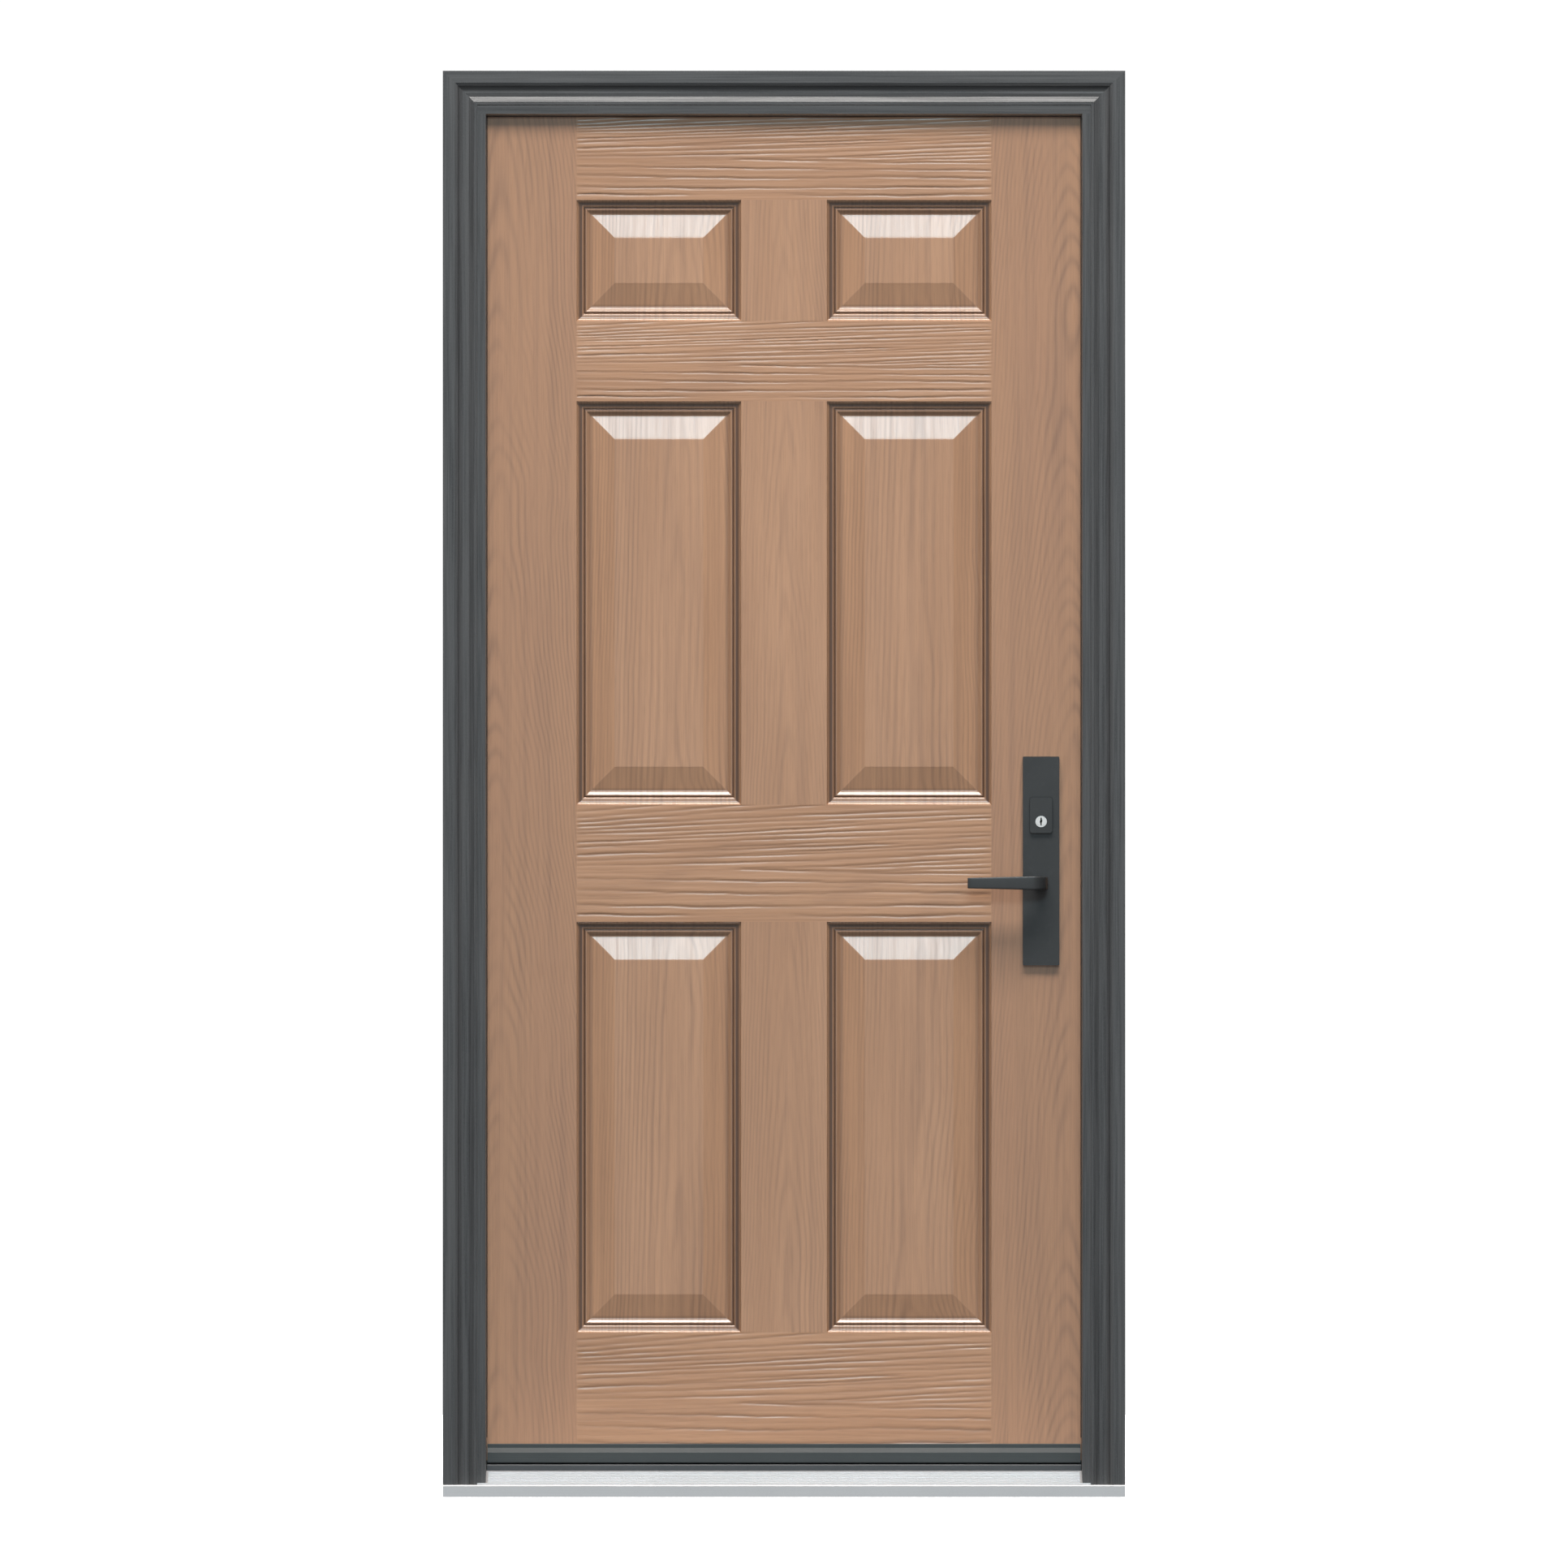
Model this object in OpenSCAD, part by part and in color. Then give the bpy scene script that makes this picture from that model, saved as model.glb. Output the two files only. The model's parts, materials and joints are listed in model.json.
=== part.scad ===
// Pre-hung six-panel front door: a moulded-skin slab in a rabbeted frame with brickmould,
// aluminium sill, butt hinges and a key-wound multipoint lock.
// Frame: +X to the lock side, +Y to the indoor side, +Z up. The origin is on the underside of
// the sill, in the middle of the frame's width and of the jambs' depth. All sizes in millimetres.

/* [Slab] */
// Width of the door slab
slab_w = 908; // [740:1:1100]
// Height of the door slab
slab_h = 2019; // [1680:1:2430]
// Thickness of the door slab
slab_t = 44.5; // [44:0.5:54]
// Thickness of each moulded skin
skin_t = 2; // [1.6:0.1:2.6]
// Width of the timber lock stile inside the slab
lock_stile_w = 45; // [43:1:60]
// Width of the timber hinge stile inside the slab
hinge_stile_w = 32; // [28:1:60]
// Height of the top rail inside the slab
core_top_rail = 32; // [28:1:60]
// Height of the bottom rail inside the slab
core_bottom_rail = 38; // [28:1:60]

/* [Panels] */
// Face width from a slab edge to the panels
stile_face = 144; // [120:1:160]
// Face width between the two columns of panels
mullion_face = 128; // [90:1:160]
// Face height under the bottom panels
bottom_rail_face = 191; // [150:1:230]
// Height of the bottom panels
bottom_panel_h = 614; // [500:1:740]
// Face height of the lock rail
lock_rail_face = 175; // [140:1:210]
// Face height of the rail under the top panels
frieze_rail_face = 120; // [95:1:145]
// Height of the top panels
top_panel_h = 181; // [150:1:220]
// Face height above the top panels
top_rail_face = 135; // [110:1:165]

/* [Frame] */
// Depth of the jambs through the wall
jamb_depth = 167; // [139:1:201]
// Thickness of the jambs
jamb_t = 31.75; // [30:0.25:40]
// How far the stops stand into the opening
rabbet = 12.7; // [10:0.1:16]
// Gap between the slab and the frame
edge_gap = 3.2; // [3:0.1:4]
// Space between a stop and the slab that the seal fills
seal_gap = 7.5; // [6:0.5:10]
// Width of the brickmould
brick_w = 50.8; // [50:0.1:62]
// Thickness of the brickmould
brick_t = 31.75; // [30:0.25:40]

/* [Sill] */
// Height of the sill's front nose
nose_h = 17.5; // [14:0.5:22]
// How far the nose stands out beyond the brickmould
nose_out = 4; // [2:1:12]
// Height of the tread where it meets the threshold cap
tread_top = 35.2; // [32:0.1:40]
// Height of the threshold cap's top
cap_top = 44.5; // [42:0.5:52]
// Space between the threshold cap and the slab
sweep_gap = 5.7; // [4.7:0.1:8]
// Number of ribs on the tread
rib_count = 7; // [5:1:9]

/* [Hinges] */
// Height of a hinge leaf
leaf_h = 101.6; // [89:0.1:127]
// Thickness of a hinge leaf
leaf_t = 2.5; // [2.2:0.1:3]
// Radius of a hinge pin
pin_r = 3.175; // [3:0.005:4]
// Distance from the slab's indoor face to the hinge pin
pin_out = 6.5; // [6.3:0.1:9]
// Distance from the slab's top to the middle of the top hinge
hinge_from_top = 178; // [150:1:220]
// Distance from the slab's bottom to the middle of the bottom hinge
hinge_from_bottom = 280; // [200:1:320]

/* [Lock] */
// Distance from the slab's edge to the lever's axis
backset = 69.85; // [60:0.05:84]
// Height of the lever's axis above the slab's bottom
lever_h = 863; // [820:1:1030]
// Distance from the lever's axis up to the cylinder's axis
centres = 92; // [85:1:98]
// Throw of the deadbolt and the multipoint bolts
throw = 20; // [16:1:22]
// Throw of the latch
latch_throw = 12; // [10:1:13]
// Distance from the lever's axis to the upper and the lower bolt
bolt_reach = 700; // [560:1:760]
// Height of the handle plates
plate_h = 312; // [260:1:370]
// Width of the handle plates
plate_w = 54.5; // [48:0.5:60]
// Thickness of the handle plates
plate_t = 8; // [6:0.5:10]
// Length of the levers from their axis to the tip
lever_len = 110; // [95:1:132]
// Distance from a handle plate to the far face of its lever
lever_out = 46; // [42:1:56]

/* [Hidden] */
$fn = 48;
glue = 0.1;            // glue line between the foam and what surrounds it
fit = 0.3;             // clearance of pieces that sit in pockets
run = 0.06;            // radial clearance of shafts in their bores
slide_fit = 0.25;      // clearance of sliding bolts in the faceplate
seat = 0.3;            // clearance of soft pieces at what they close against
yc = jamb_depth / 2 - slab_t / 2;

// Slab and frame planes
xe = slab_w / 2;
xr = xe + edge_gap;
xs = xr - rabbet;
xo = xs + jamb_t;
xb = xr + brick_w;
y_in = jamb_depth / 2;
y_out = -jamb_depth / 2;
slab_y1 = y_in;
slab_y0 = y_in - slab_t;
stop_y = slab_y0 - seal_gap;
brick_y = y_out - brick_t;
nose_y = brick_y - nose_out;
slab_z0 = cap_top + sweep_gap;
slab_z1 = slab_z0 + slab_h;
zr = slab_z1 + edge_gap;
zs = zr - rabbet;
zo = zs + jamb_t;
zb = zr + brick_w;

// Panels: [middle x, middle z, height]
panel_w = (slab_w - 2 * stile_face - mullion_face) / 2;
middle_panel_h = slab_h - bottom_rail_face - bottom_panel_h - lock_rail_face
    - frieze_rail_face - top_panel_h - top_rail_face;
row_heights = [bottom_panel_h, middle_panel_h, top_panel_h];
row_bottoms = [
    slab_z0 + bottom_rail_face,
    slab_z0 + bottom_rail_face + bottom_panel_h + lock_rail_face,
    slab_z1 - top_rail_face - top_panel_h
];
panels = [
    for (side = [-1, 1], row = [0:2])
        [side * (mullion_face + panel_w) / 2, row_bottoms[row] + row_heights[row] / 2, row_heights[row]]
];
// Moulding section as [distance in from the panel's edge, depth below the face]
moulding = concat(
    [for (a = [0:22.5:90]) [6.2 - 6.2 * cos(a), 4.6 * sin(a)]],
    [[8.2, 4.8]],
    [for (a = [30:30:90]) [8.2 + 3 * sin(a), 4.8 + 2.4 * (1 - cos(a))]],
    [[12.6, 5.3], [14.9, 5.1], [17, 6.6], [20.7, 8.6], [22, 8.6], [55.7, 2.2], [57, 1.9]]
);

// Sill section
horn_y = y_out;
tread_foot = nose_h + 2;
cap_y0 = stop_y - 9;
cap_y1 = y_in - 4;
cap_mid = (cap_y0 + cap_y1) / 2;
deck_z = tread_top - 3.2;
shell_t = 1.8;
rib_len = 2 * (xs - 3);

// Hinges
pin_x = -(xe + edge_gap / 2);
pin_y = slab_y1 + pin_out;
knuckle_r = pin_r + run + leaf_t;
knuckle_n = 5;
knuckle_gap = 0.3;
leaf_y0 = slab_y0 + 6;
leaf_corner = 15.9;
leaf_clear = knuckle_r + 0.7;
hinge_zs = [
    slab_z1 - hinge_from_top,
    (slab_z1 - hinge_from_top + slab_z0 + hinge_from_bottom) / 2,
    slab_z0 + hinge_from_bottom
];
hinge_screw_r = 2.2;
hinge_head_r = 4.4;
hinge_screw_len = 28;
jamb_hold = 17;        // length of a screw that stays inside a jamb

// Lock
lx = xe - backset;
lz = slab_z0 + lever_h;
cz = lz + centres;
upper_z = lz + bolt_reach;
lower_z = lz - bolt_reach;
face_t = 3;
face_w = 20;
face_x = xe - face_t;
face_end = 62;
rail_t = 2.5;
rail_half = 6;
rail_x0 = face_x - 3.5;
bolt_y0 = yc - 6;
bolt_y1 = yc + 2.8;
slide_y0 = yc + 3.4;
slide_y1 = yc + 5.4;
bolt_front = xe - 0.3;
case_x0 = lx - 31;
case_x1 = rail_x0 - 1;
case_z0 = lz - 62;
case_z1 = cz + 44;
case_half = 8;
wall = 1.5;
tongue_h = 16;
tongue_len = 37;
drive_pin_r = 2.5;
drive_slot = drive_pin_r + fit;
pin_back = throw + 12;
latch_h = 20;
deadbolt_h = 34;
deadbolt_z = cz - 12;
bolt_sizes = [[lz, latch_h], [deadbolt_z, deadbolt_h], [upper_z, tongue_h], [lower_z, tongue_h]];
crank_r = throw / sqrt(2);
crank_play = 0.75;
euro_r = 8.5;
euro_lobe_r = 5;
euro_h = 33;
lobe_top = euro_h - euro_r;
shaft_r = 6;
thumb_y = slab_y1 + plate_t + fit;
plug_r = 6.5;
spindle = 8;
hub_r = 10.5;
hub_arm = 18;
arm_half = 3;
tail_y = [bolt_y0 + 0.2, yc - 3.2];
half_reach = crank_r * sin(45);
plate_mid = lz + 33;
bolt_hole_z = plate_h / 2 - 20;
through_r = 2.5;
post_r = 4.5;
cover_w = 34;
cover_h = 54;
cover_t = 4;
cover_r = 4;
cover_mid = cz + 9.5;
cyl_y0 = slab_y0 - plate_t;
cyl_y1 = slab_y1 + plate_t - 0.2;
cam_half = 6.2;
cyl_screw_z = cz + lobe_top - 5;
block_x0 = lx - 50;
block_z0 = min(case_z0, plate_mid - bolt_hole_z) - 30;
block_z1 = max(case_z1, plate_mid + bolt_hole_z) + 30;
snib_z = lz - 22;
snib_travel = latch_throw / 2;
snib_r = 2.2;
snib_y = yc - 3.6;
catch_x = lx + 28;
catch_w = 5;
catch_in = 3;
fixing_r = 3;
fixing_y = (y_out + stop_y) / 2;
fixing_zs = [slab_z0 + 260, slab_z1 - 260];
face_screw_zs = [lower_z - 50, lower_z + 60, case_z0 - 20, case_z1 + 20, upper_z - 60, upper_z + 50];
adjust_xs = [-0.42 * slab_w, -0.14 * slab_w, 0.14 * slab_w, 0.42 * slab_w];
strike_t = 1.6;
strike_half = 15;
strike_z0 = lz - 38;
strike_z1 = deadbolt_z + 46;
keeper_half_h = 34;

// ---------- Shared shapes ----------

// A box between two corners given axis by axis
module box(x, y, z) {
    translate([x[0], y[0], z[0]]) cube([x[1] - x[0], y[1] - y[0], z[1] - z[0]]);
}

// Round bars along each axis, from a to b
module rod_x(r, a, b, y, z) {
    translate([a, y, z]) rotate([0, 90, 0]) cylinder(r = r, h = b - a);
}
module rod_y(r, a, b, x, z) {
    translate([x, a, z]) rotate([-90, 0, 0]) cylinder(r = r, h = b - a);
}
module rod_z(r, a, b, x, y) {
    translate([x, y, a]) cylinder(r = r, h = b - a);
}

// A (y, z) section drawn out along X, and an (x, z) section drawn out along Y
module along_x(a, b) {
    translate([a, 0, 0]) rotate([90, 0, 90]) linear_extrude(b - a) children();
}
module along_y(a, b) {
    translate([0, b, 0]) rotate([90, 0, 0]) linear_extrude(b - a) children();
}

// A rectangle with rounded corners about the origin
module rounded(w, h, r) {
    square([w - 2 * r, h], center = true);
    square([w, h - 2 * r], center = true);
    for (i = [-1, 1], j = [-1, 1]) translate([i * (w / 2 - r), j * (h / 2 - r)]) circle(r);
}

// Countersunk screw along +Z from its head's face, with a cross recess
module flat_screw(r, head_r, length) {
    head_h = head_r - r;
    difference() {
        union() {
            translate([0, 0, -head_h]) cylinder(r1 = r, r2 = head_r, h = head_h);
            translate([0, 0, -length]) cylinder(r = r, h = length - head_h / 2);
        }
        for (a = [0, 90]) rotate([0, 0, a])
            translate([-head_r * 0.55, -0.4, -1.2]) cube([head_r * 1.1, 0.8, 2]);
    }
}

// The room that such a screw takes, a little wider
module screw_room(r, head_r, length) {
    head_h = head_r - r;
    translate([0, 0, -head_h - 0.05]) cylinder(r1 = r + 0.05, r2 = head_r + 0.1, h = head_h + 0.05);
    translate([0, 0, -length - 0.6]) cylinder(r = r + 0.05, h = length + 1);
    translate([0, 0, -0.01]) cylinder(r = head_r + 0.1, h = 1);
}

// ---------- Frame ----------

// The sill's whole section, for its own pieces and for the feet of the jambs
module sill_section() {
    polygon([
        [nose_y, 0], [nose_y, nose_h - 1.5], [nose_y + 1.5, nose_h], [horn_y, nose_h],
        [horn_y, tread_foot], [cap_y0, tread_top], [cap_y0, deck_z], [y_in, deck_z], [y_in, 0]
    ]);
}
module sill_core_section() {
    polygon([
        [nose_y + shell_t, -1], [nose_y + shell_t, nose_h - shell_t],
        [horn_y + shell_t, nose_h - shell_t], [horn_y + shell_t, tread_foot - shell_t],
        [cap_y0 - shell_t, tread_top - shell_t - 0.3], [cap_y0 - shell_t, deck_z - shell_t],
        [y_in - shell_t, deck_z - shell_t], [y_in - shell_t, -1]
    ]);
}

// What the sill leaves clear at the outdoor end of the frame's width
module beside_sill() {
    for (s = [-1, 1]) {
        x = s > 0 ? [xo, xb + 1] : [-xb - 1, -xo];
        box(x, [horn_y, y_in + 1], [-1, tread_top + 1]);
    }
}
module sill_extrusion() {
    step = (cap_y0 - horn_y) / (rib_count + 1);
    slope = (tread_top - tread_foot) / (cap_y0 - horn_y);
    color("silver") difference() {
        union() {
            along_x(-xb, xb) sill_section();
            for (i = [1:rib_count]) {
                y = horn_y + i * step - 4;
                z = tread_foot + slope * (y - horn_y);
                along_x(-rib_len / 2, rib_len / 2)
                    polygon([[y, z - 0.5], [y, z + 1.3], [y + 3.4, z + 1.3], [y + 9, z + 9 * slope - 0.2]]);
            }
        }
        along_x(-xb - 1, xb + 1) sill_core_section();
        beside_sill();
        for (x = adjust_xs) rod_z(2.1, deck_z - 3, deck_z + 1, x, cap_mid);
        jamb_screw_rooms();
    }
}
module sill_base() {
    color("dimgray") difference() {
        intersection() {
            along_x(-xb + 0.5, xb - 0.5) sill_core_section();
            box([-xb, xb], [nose_y, y_in], [0, tread_top]);
        }
        beside_sill();
        for (x = adjust_xs) rod_z(2.1, 12, tread_top, x, cap_mid);
        jamb_screw_rooms();
    }
}
module threshold_cap() {
    color("#3d4143") difference() {
        union() {
            along_x(-xs + 1, xs - 1) polygon([
                [cap_y0 + 0.6, deck_z], [cap_y0 + 0.6, cap_top - 1.8], [cap_y0 + 2.4, cap_top],
                [cap_y1, cap_top], [cap_y1, deck_z]
            ]);
            box([-xr + 1, xr - 1], [slab_y0 + seat, cap_y1], [deck_z, cap_top]);
        }
        for (x = adjust_xs) {
            rod_z(2.1, deck_z - 1, cap_top + 1, x, cap_mid);
            rod_z(5.2, cap_top - 4, cap_top + 1, x, cap_mid);
        }
    }
}
module threshold_screws() {
    color("silver") for (x = adjust_xs) difference() {
        union() {
            rod_z(2, 14, cap_top - 3.5, x, cap_mid);
            rod_z(5, cap_top - 3.8, cap_top - 1, x, cap_mid);
        }
        box([x - 3.2, x + 3.2], [cap_mid - 0.6, cap_mid + 0.6], [cap_top - 2.4, cap_top]);
        box([x - 0.6, x + 0.6], [cap_mid - 3.2, cap_mid + 3.2], [cap_top - 2.4, cap_top]);
    }
}

// Section of a seal: a barbed leg in the kerf and a foam bulb on the stop; s is the distance
// from the stop's edge towards the rabbet, and t the distance from the stop towards the slab
kerf_s = rabbet - 6;
kerf_w = 3;
kerf_d = 9;
module seal_section() {
    bulb = seal_gap - seat;
    translate([kerf_s + 0.4, -kerf_d + 0.6]) square([kerf_w - 0.8, kerf_d]);
    polygon([
        [-1.2, 1.6], [-0.4, 0], [rabbet - 1.2, 0], [rabbet - 0.8, 1.4],
        [rabbet - 3, bulb], [1.2, bulb], [-1.2, bulb - 2.2]
    ]);
}
pad_top = slab_z0 + 34;
module side_seal(s) {
    translate([s * xs, stop_y, pad_top + seat]) scale([s, 1, 1])
        linear_extrude(zs - 1.5 - pad_top - seat) seal_section();
}
module weatherstrip() {
    color("#1d1e1f") {
        side_seal(-1);
        side_seal(1);
        translate([-xr + 1, stop_y, zs]) rotate([90, 0, 90]) linear_extrude(2 * xr - 2)
            mirror([1, -1, 0]) seal_section();
    }
}
module corner_pads() {
    color("#1d1e1f") for (s = [-1, 1]) {
        x = s > 0 ? [xs + 0.2, xr - 1] : [-xr + 1, -xs - 0.2];
        box(x, [stop_y + 0.01, slab_y0 - seat], [deck_z + 0.2, pad_top]);
    }
}

// One side jamb, drawn for the lock side
module jamb_body() {
    difference() {
        union() {
            linear_extrude(zs) polygon([
                [xs, y_out], [xo, y_out], [xo, y_in], [xr, y_in], [xr, stop_y], [xs, stop_y]
            ]);
            box([xr, xo], [stop_y, y_in], [zs - 1, zr]);
        }
        along_x(xs - 1, xo + 1) sill_section();
        box([xs + kerf_s, xs + kerf_s + kerf_w], [stop_y - kerf_d, stop_y + 0.01], [0, zs + 1]);
        for (z = fixing_zs) rod_x(fixing_r, xs - 1, xo + 1, fixing_y, z);
        jamb_screw_rooms();
    }
}
// Two screws down through the head into each jamb, and two up through the sill
module jamb_screw_places(top) {
    for (s = [-1, 1], y = [y_out + 40, y_in - 30])
        translate([s * (xo - 10), y, top ? zo : 0]) rotate([top ? 0 : 180, 0, 0])
            translate([0, 0, -0.2]) children();
}
module jamb_screws() {
    color("silver") {
        jamb_screw_places(true) flat_screw(2.1, 4, zo - zr + 45);
        jamb_screw_places(false) flat_screw(2.1, 4, deck_z + 35);
    }
}
module jamb_screw_rooms() {
    jamb_screw_places(true) screw_room(2.1, 4, zo - zr + 45);
    jamb_screw_places(false) screw_room(2.1, 4, deck_z + 35);
}
module hinge_jamb() {
    color("#555759") difference() {
        mirror([1, 0, 0]) jamb_body();
        for (z = hinge_zs) {
            leaf_plate(-xr - leaf_t - glue, -xr, z, leaf_h + 2 * glue, y_in + 1);
            hinge_screw_places(z, -1) screw_room(hinge_screw_r, hinge_head_r, jamb_hold);
        }
    }
}
module strike_jamb() {
    color("#555759") difference() {
        jamb_body();
        box([xr - 1, xr + strike_t + glue], [yc - strike_half - glue, y_in + 1],
            [strike_z0 - glue, strike_z1 + glue]);
        for (z = [lower_z, upper_z])
            box([xr - 1, xr + strike_t + glue], [yc - strike_half - glue, y_in + 1],
                [z - keeper_half_h - glue, z + keeper_half_h + glue]);
        bolt_openings(2, xo + 1);
        for (z = strike_screw_zs) strike_screw_place(z) screw_room(1.9, 3.8, jamb_hold);
    }
}
// Through openings for the latch, the deadbolt and the two multipoint bolts, grown by g
module bolt_openings(g, x1) {
    for (p = bolt_sizes)
        box([xr - 1, x1], [bolt_y0 - g, bolt_y1 + g], [p[0] - p[1] / 2 - g, p[0] + p[1] / 2 + g]);
}
module head_jamb() {
    color("#555759") difference() {
        along_x(-xo, xo) polygon([
            [y_out, zs], [stop_y, zs], [stop_y, zr], [y_in, zr], [y_in, zo], [y_out, zo]
        ]);
        box([-xr + 1, xr - 1], [stop_y - kerf_d, stop_y + 0.01], [zs + kerf_s, zs + kerf_s + kerf_w]);
        jamb_screw_rooms();
    }
}

// Brickmould section: u from the outer edge inwards, v out from the jamb. A kerf in its back, at
// the jamb's outer edge, takes the bead of caulk and leaves a flat strip for the wall.
brick_kerf = 2;
module brick_section() {
    back = brick_w - 50.8;
    difference() {
        polygon([
            [0, 0], [0, brick_t - 0.8], [0.8, brick_t], [18 + back, brick_t],
            [23 + back, brick_t - 2], [29 + back, brick_t - 8.6], [38.5 + back, brick_t - 9.6],
            [46.4 + back, brick_t - 5.4], [47.4 + back, brick_t - 5.4], [47.8 + back, brick_t - 9],
            [brick_w - 0.6, brick_t - 9], [brick_w, brick_t - 9.6], [brick_w, 0]
        ]);
        translate([31 + back, brick_t - 0.4]) circle(8.8);
        translate([xb - xo - brick_kerf, -1]) square([brick_kerf + 0.5, 2.5]);
    }
}
// Everything above the 45-degree mitre plane at the upper right corner, or below it
module mitre_side(above) {
    big = 8 * brick_w;
    translate([xb, 0, zb]) rotate([0, -45, 0])
        translate([-big / 2, brick_y - 1, above ? 0 : -big]) cube([big, brick_t + 2, big]);
}
// Lock-side brickmould, mitred at the head
module side_brick() {
    difference() {
        translate([xb, y_out, nose_h]) linear_extrude(zb - nose_h)
            mirror([1, 0, 0]) mirror([0, 1, 0]) brick_section();
        mitre_side(true);
    }
}
module strike_brickmould() { color("#555759") side_brick(); }
module hinge_brickmould() { color("#555759") mirror([1, 0, 0]) side_brick(); }
module head_brickmould() {
    color("#555759") difference() {
        translate([-xb, y_out, zb]) rotate([90, 0, 90]) linear_extrude(2 * xb)
            rotate(-90) mirror([0, 1, 0]) brick_section();
        mitre_side(false);
        mirror([1, 0, 0]) mitre_side(false);
    }
}

// ---------- Hinges ----------

// The four screw places of a leaf, heads towards the gap; side is -1 for the frame, 1 for the slab
module hinge_screw_places(z, side) {
    x = side < 0 ? -xr : -xe;
    y0 = leaf_y0 + 9;
    y1 = slab_y1 - 11;
    for (p = [[y0, 0.34], [y1, 0.39], [y0, -0.34], [y1, -0.39]])
        translate([x, p[0], z + p[1] * leaf_h]) rotate([0, -90 * side, 0]) children();
}
// Flat part of a leaf between x0 and x1, or its mortise with a greater height h
module leaf_plate(x0, x1, z, h, y1) {
    r = leaf_corner;
    g = (h - leaf_h) / 2;
    translate([x0, 0, z]) rotate([90, 0, 90]) linear_extrude(x1 - x0) {
        translate([leaf_y0 - g + r, -h / 2]) square([y1 - leaf_y0 + g - r, h]);
        translate([leaf_y0 - g, -h / 2 + r]) square([r + 1, h - 2 * r]);
        for (s = [-1, 1]) translate([leaf_y0 - g + r, s * (h / 2 - r)]) circle(r);
    }
}
// Knuckles i = first, first + 2 ...; each leaf's tabs reach its own knuckles only
module knuckles(z, first, x0, x1) {
    step = leaf_h / knuckle_n;
    for (i = [first:2:knuckle_n - 1]) {
        a = z - leaf_h / 2 + i * step + (i > 0 ? knuckle_gap / 2 : 0);
        b = z - leaf_h / 2 + (i + 1) * step - (i < knuckle_n - 1 ? knuckle_gap / 2 : 0);
        rod_z(knuckle_r, a, b, pin_x, pin_y);
        box([x0, x1], [pin_y - leaf_clear - 1, pin_y], [a, b]);
    }
}
module hinge_leaf(z, side) {
    x0 = side < 0 ? -xr - leaf_t : -xe;
    x1 = side < 0 ? -xr : -xe + leaf_t;
    color("#2f3133") difference() {
        union() {
            leaf_plate(x0, x1, z, leaf_h, pin_y - leaf_clear);
            knuckles(z, side < 0 ? 0 : 1, x0, x1);
        }
        rod_z(pin_r + run, z - leaf_h, z + leaf_h, pin_x, pin_y);
        hinge_screw_places(z, side) screw_room(hinge_screw_r, hinge_head_r, 6);
    }
}
module hinge_pins() {
    color("#2f3133") for (z = hinge_zs) {
        rod_z(pin_r, z - leaf_h / 2 - 1, z + leaf_h / 2 + 1, pin_x, pin_y);
        rod_z(knuckle_r, z + leaf_h / 2 + 0.1, z + leaf_h / 2 + 3.2, pin_x, pin_y);
        translate([pin_x, pin_y, z + leaf_h / 2 + 3.2]) cylinder(r1 = knuckle_r, r2 = 2.5, h = 2.4);
    }
}
module frame_hinge_screws() {
    color("#2f3133") for (z = hinge_zs)
        hinge_screw_places(z, -1) translate([0, 0, -0.05])
            flat_screw(hinge_screw_r, hinge_head_r, jamb_hold);
}
module door_hinge_screws() {
    color("#2f3133") for (z = hinge_zs)
        hinge_screw_places(z, 1) translate([0, 0, -0.05])
            flat_screw(hinge_screw_r, hinge_head_r, hinge_screw_len);
}

// ---------- Slab ----------

// A solid from the slab's face down to the moulding's surface; rings are [inset, depth]
module panel_solid(h, rings) {
    n = len(rings);
    corners = [[-1, -1], [1, -1], [1, 1], [-1, 1]];
    points = [
        for (r = rings, c = corners)
            [c[0] * (panel_w / 2 - r[0]), r[1], c[1] * (h / 2 - r[0])]
    ];
    sides = [
        for (i = [0:n - 2], a = [0:3])
            [4 * i + a, 4 * i + (a + 1) % 4, 4 * i + 4 + (a + 1) % 4, 4 * i + 4 + a]
    ];
    polyhedron(points, concat([[3, 2, 1, 0]], sides, [[for (a = [0:3]) 4 * (n - 1) + a]]));
}
// Solids at all six panels of one face: the hollow itself, or with t its back, that much deeper
module panel_solids(indoor, t = 0) {
    start = t > 0 ? skin_t / 2 : -1;
    rings = concat([[0, start]], [for (m = moulding) [m[0], m[1] + t]]);
    for (p = panels) translate([p[0], indoor ? slab_y1 : slab_y0, p[1]])
        scale([1, indoor ? -1 : 1, 1]) panel_solid(p[2], rings);
}
module skin(indoor) {
    y = indoor ? [slab_y1 - skin_t, slab_y1] : [slab_y0, slab_y0 + skin_t];
    difference() {
        union() {
            box([-xe, xe], y, [slab_z0, slab_z1]);
            panel_solids(indoor, skin_t);
        }
        panel_solids(indoor);
        lock_holes();
        if (indoor) leaf_mortises();
    }
}
module exterior_skin() { color("#b08a6e") skin(false); }
module interior_skin() { color("#b08a6e") skin(true); }
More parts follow.
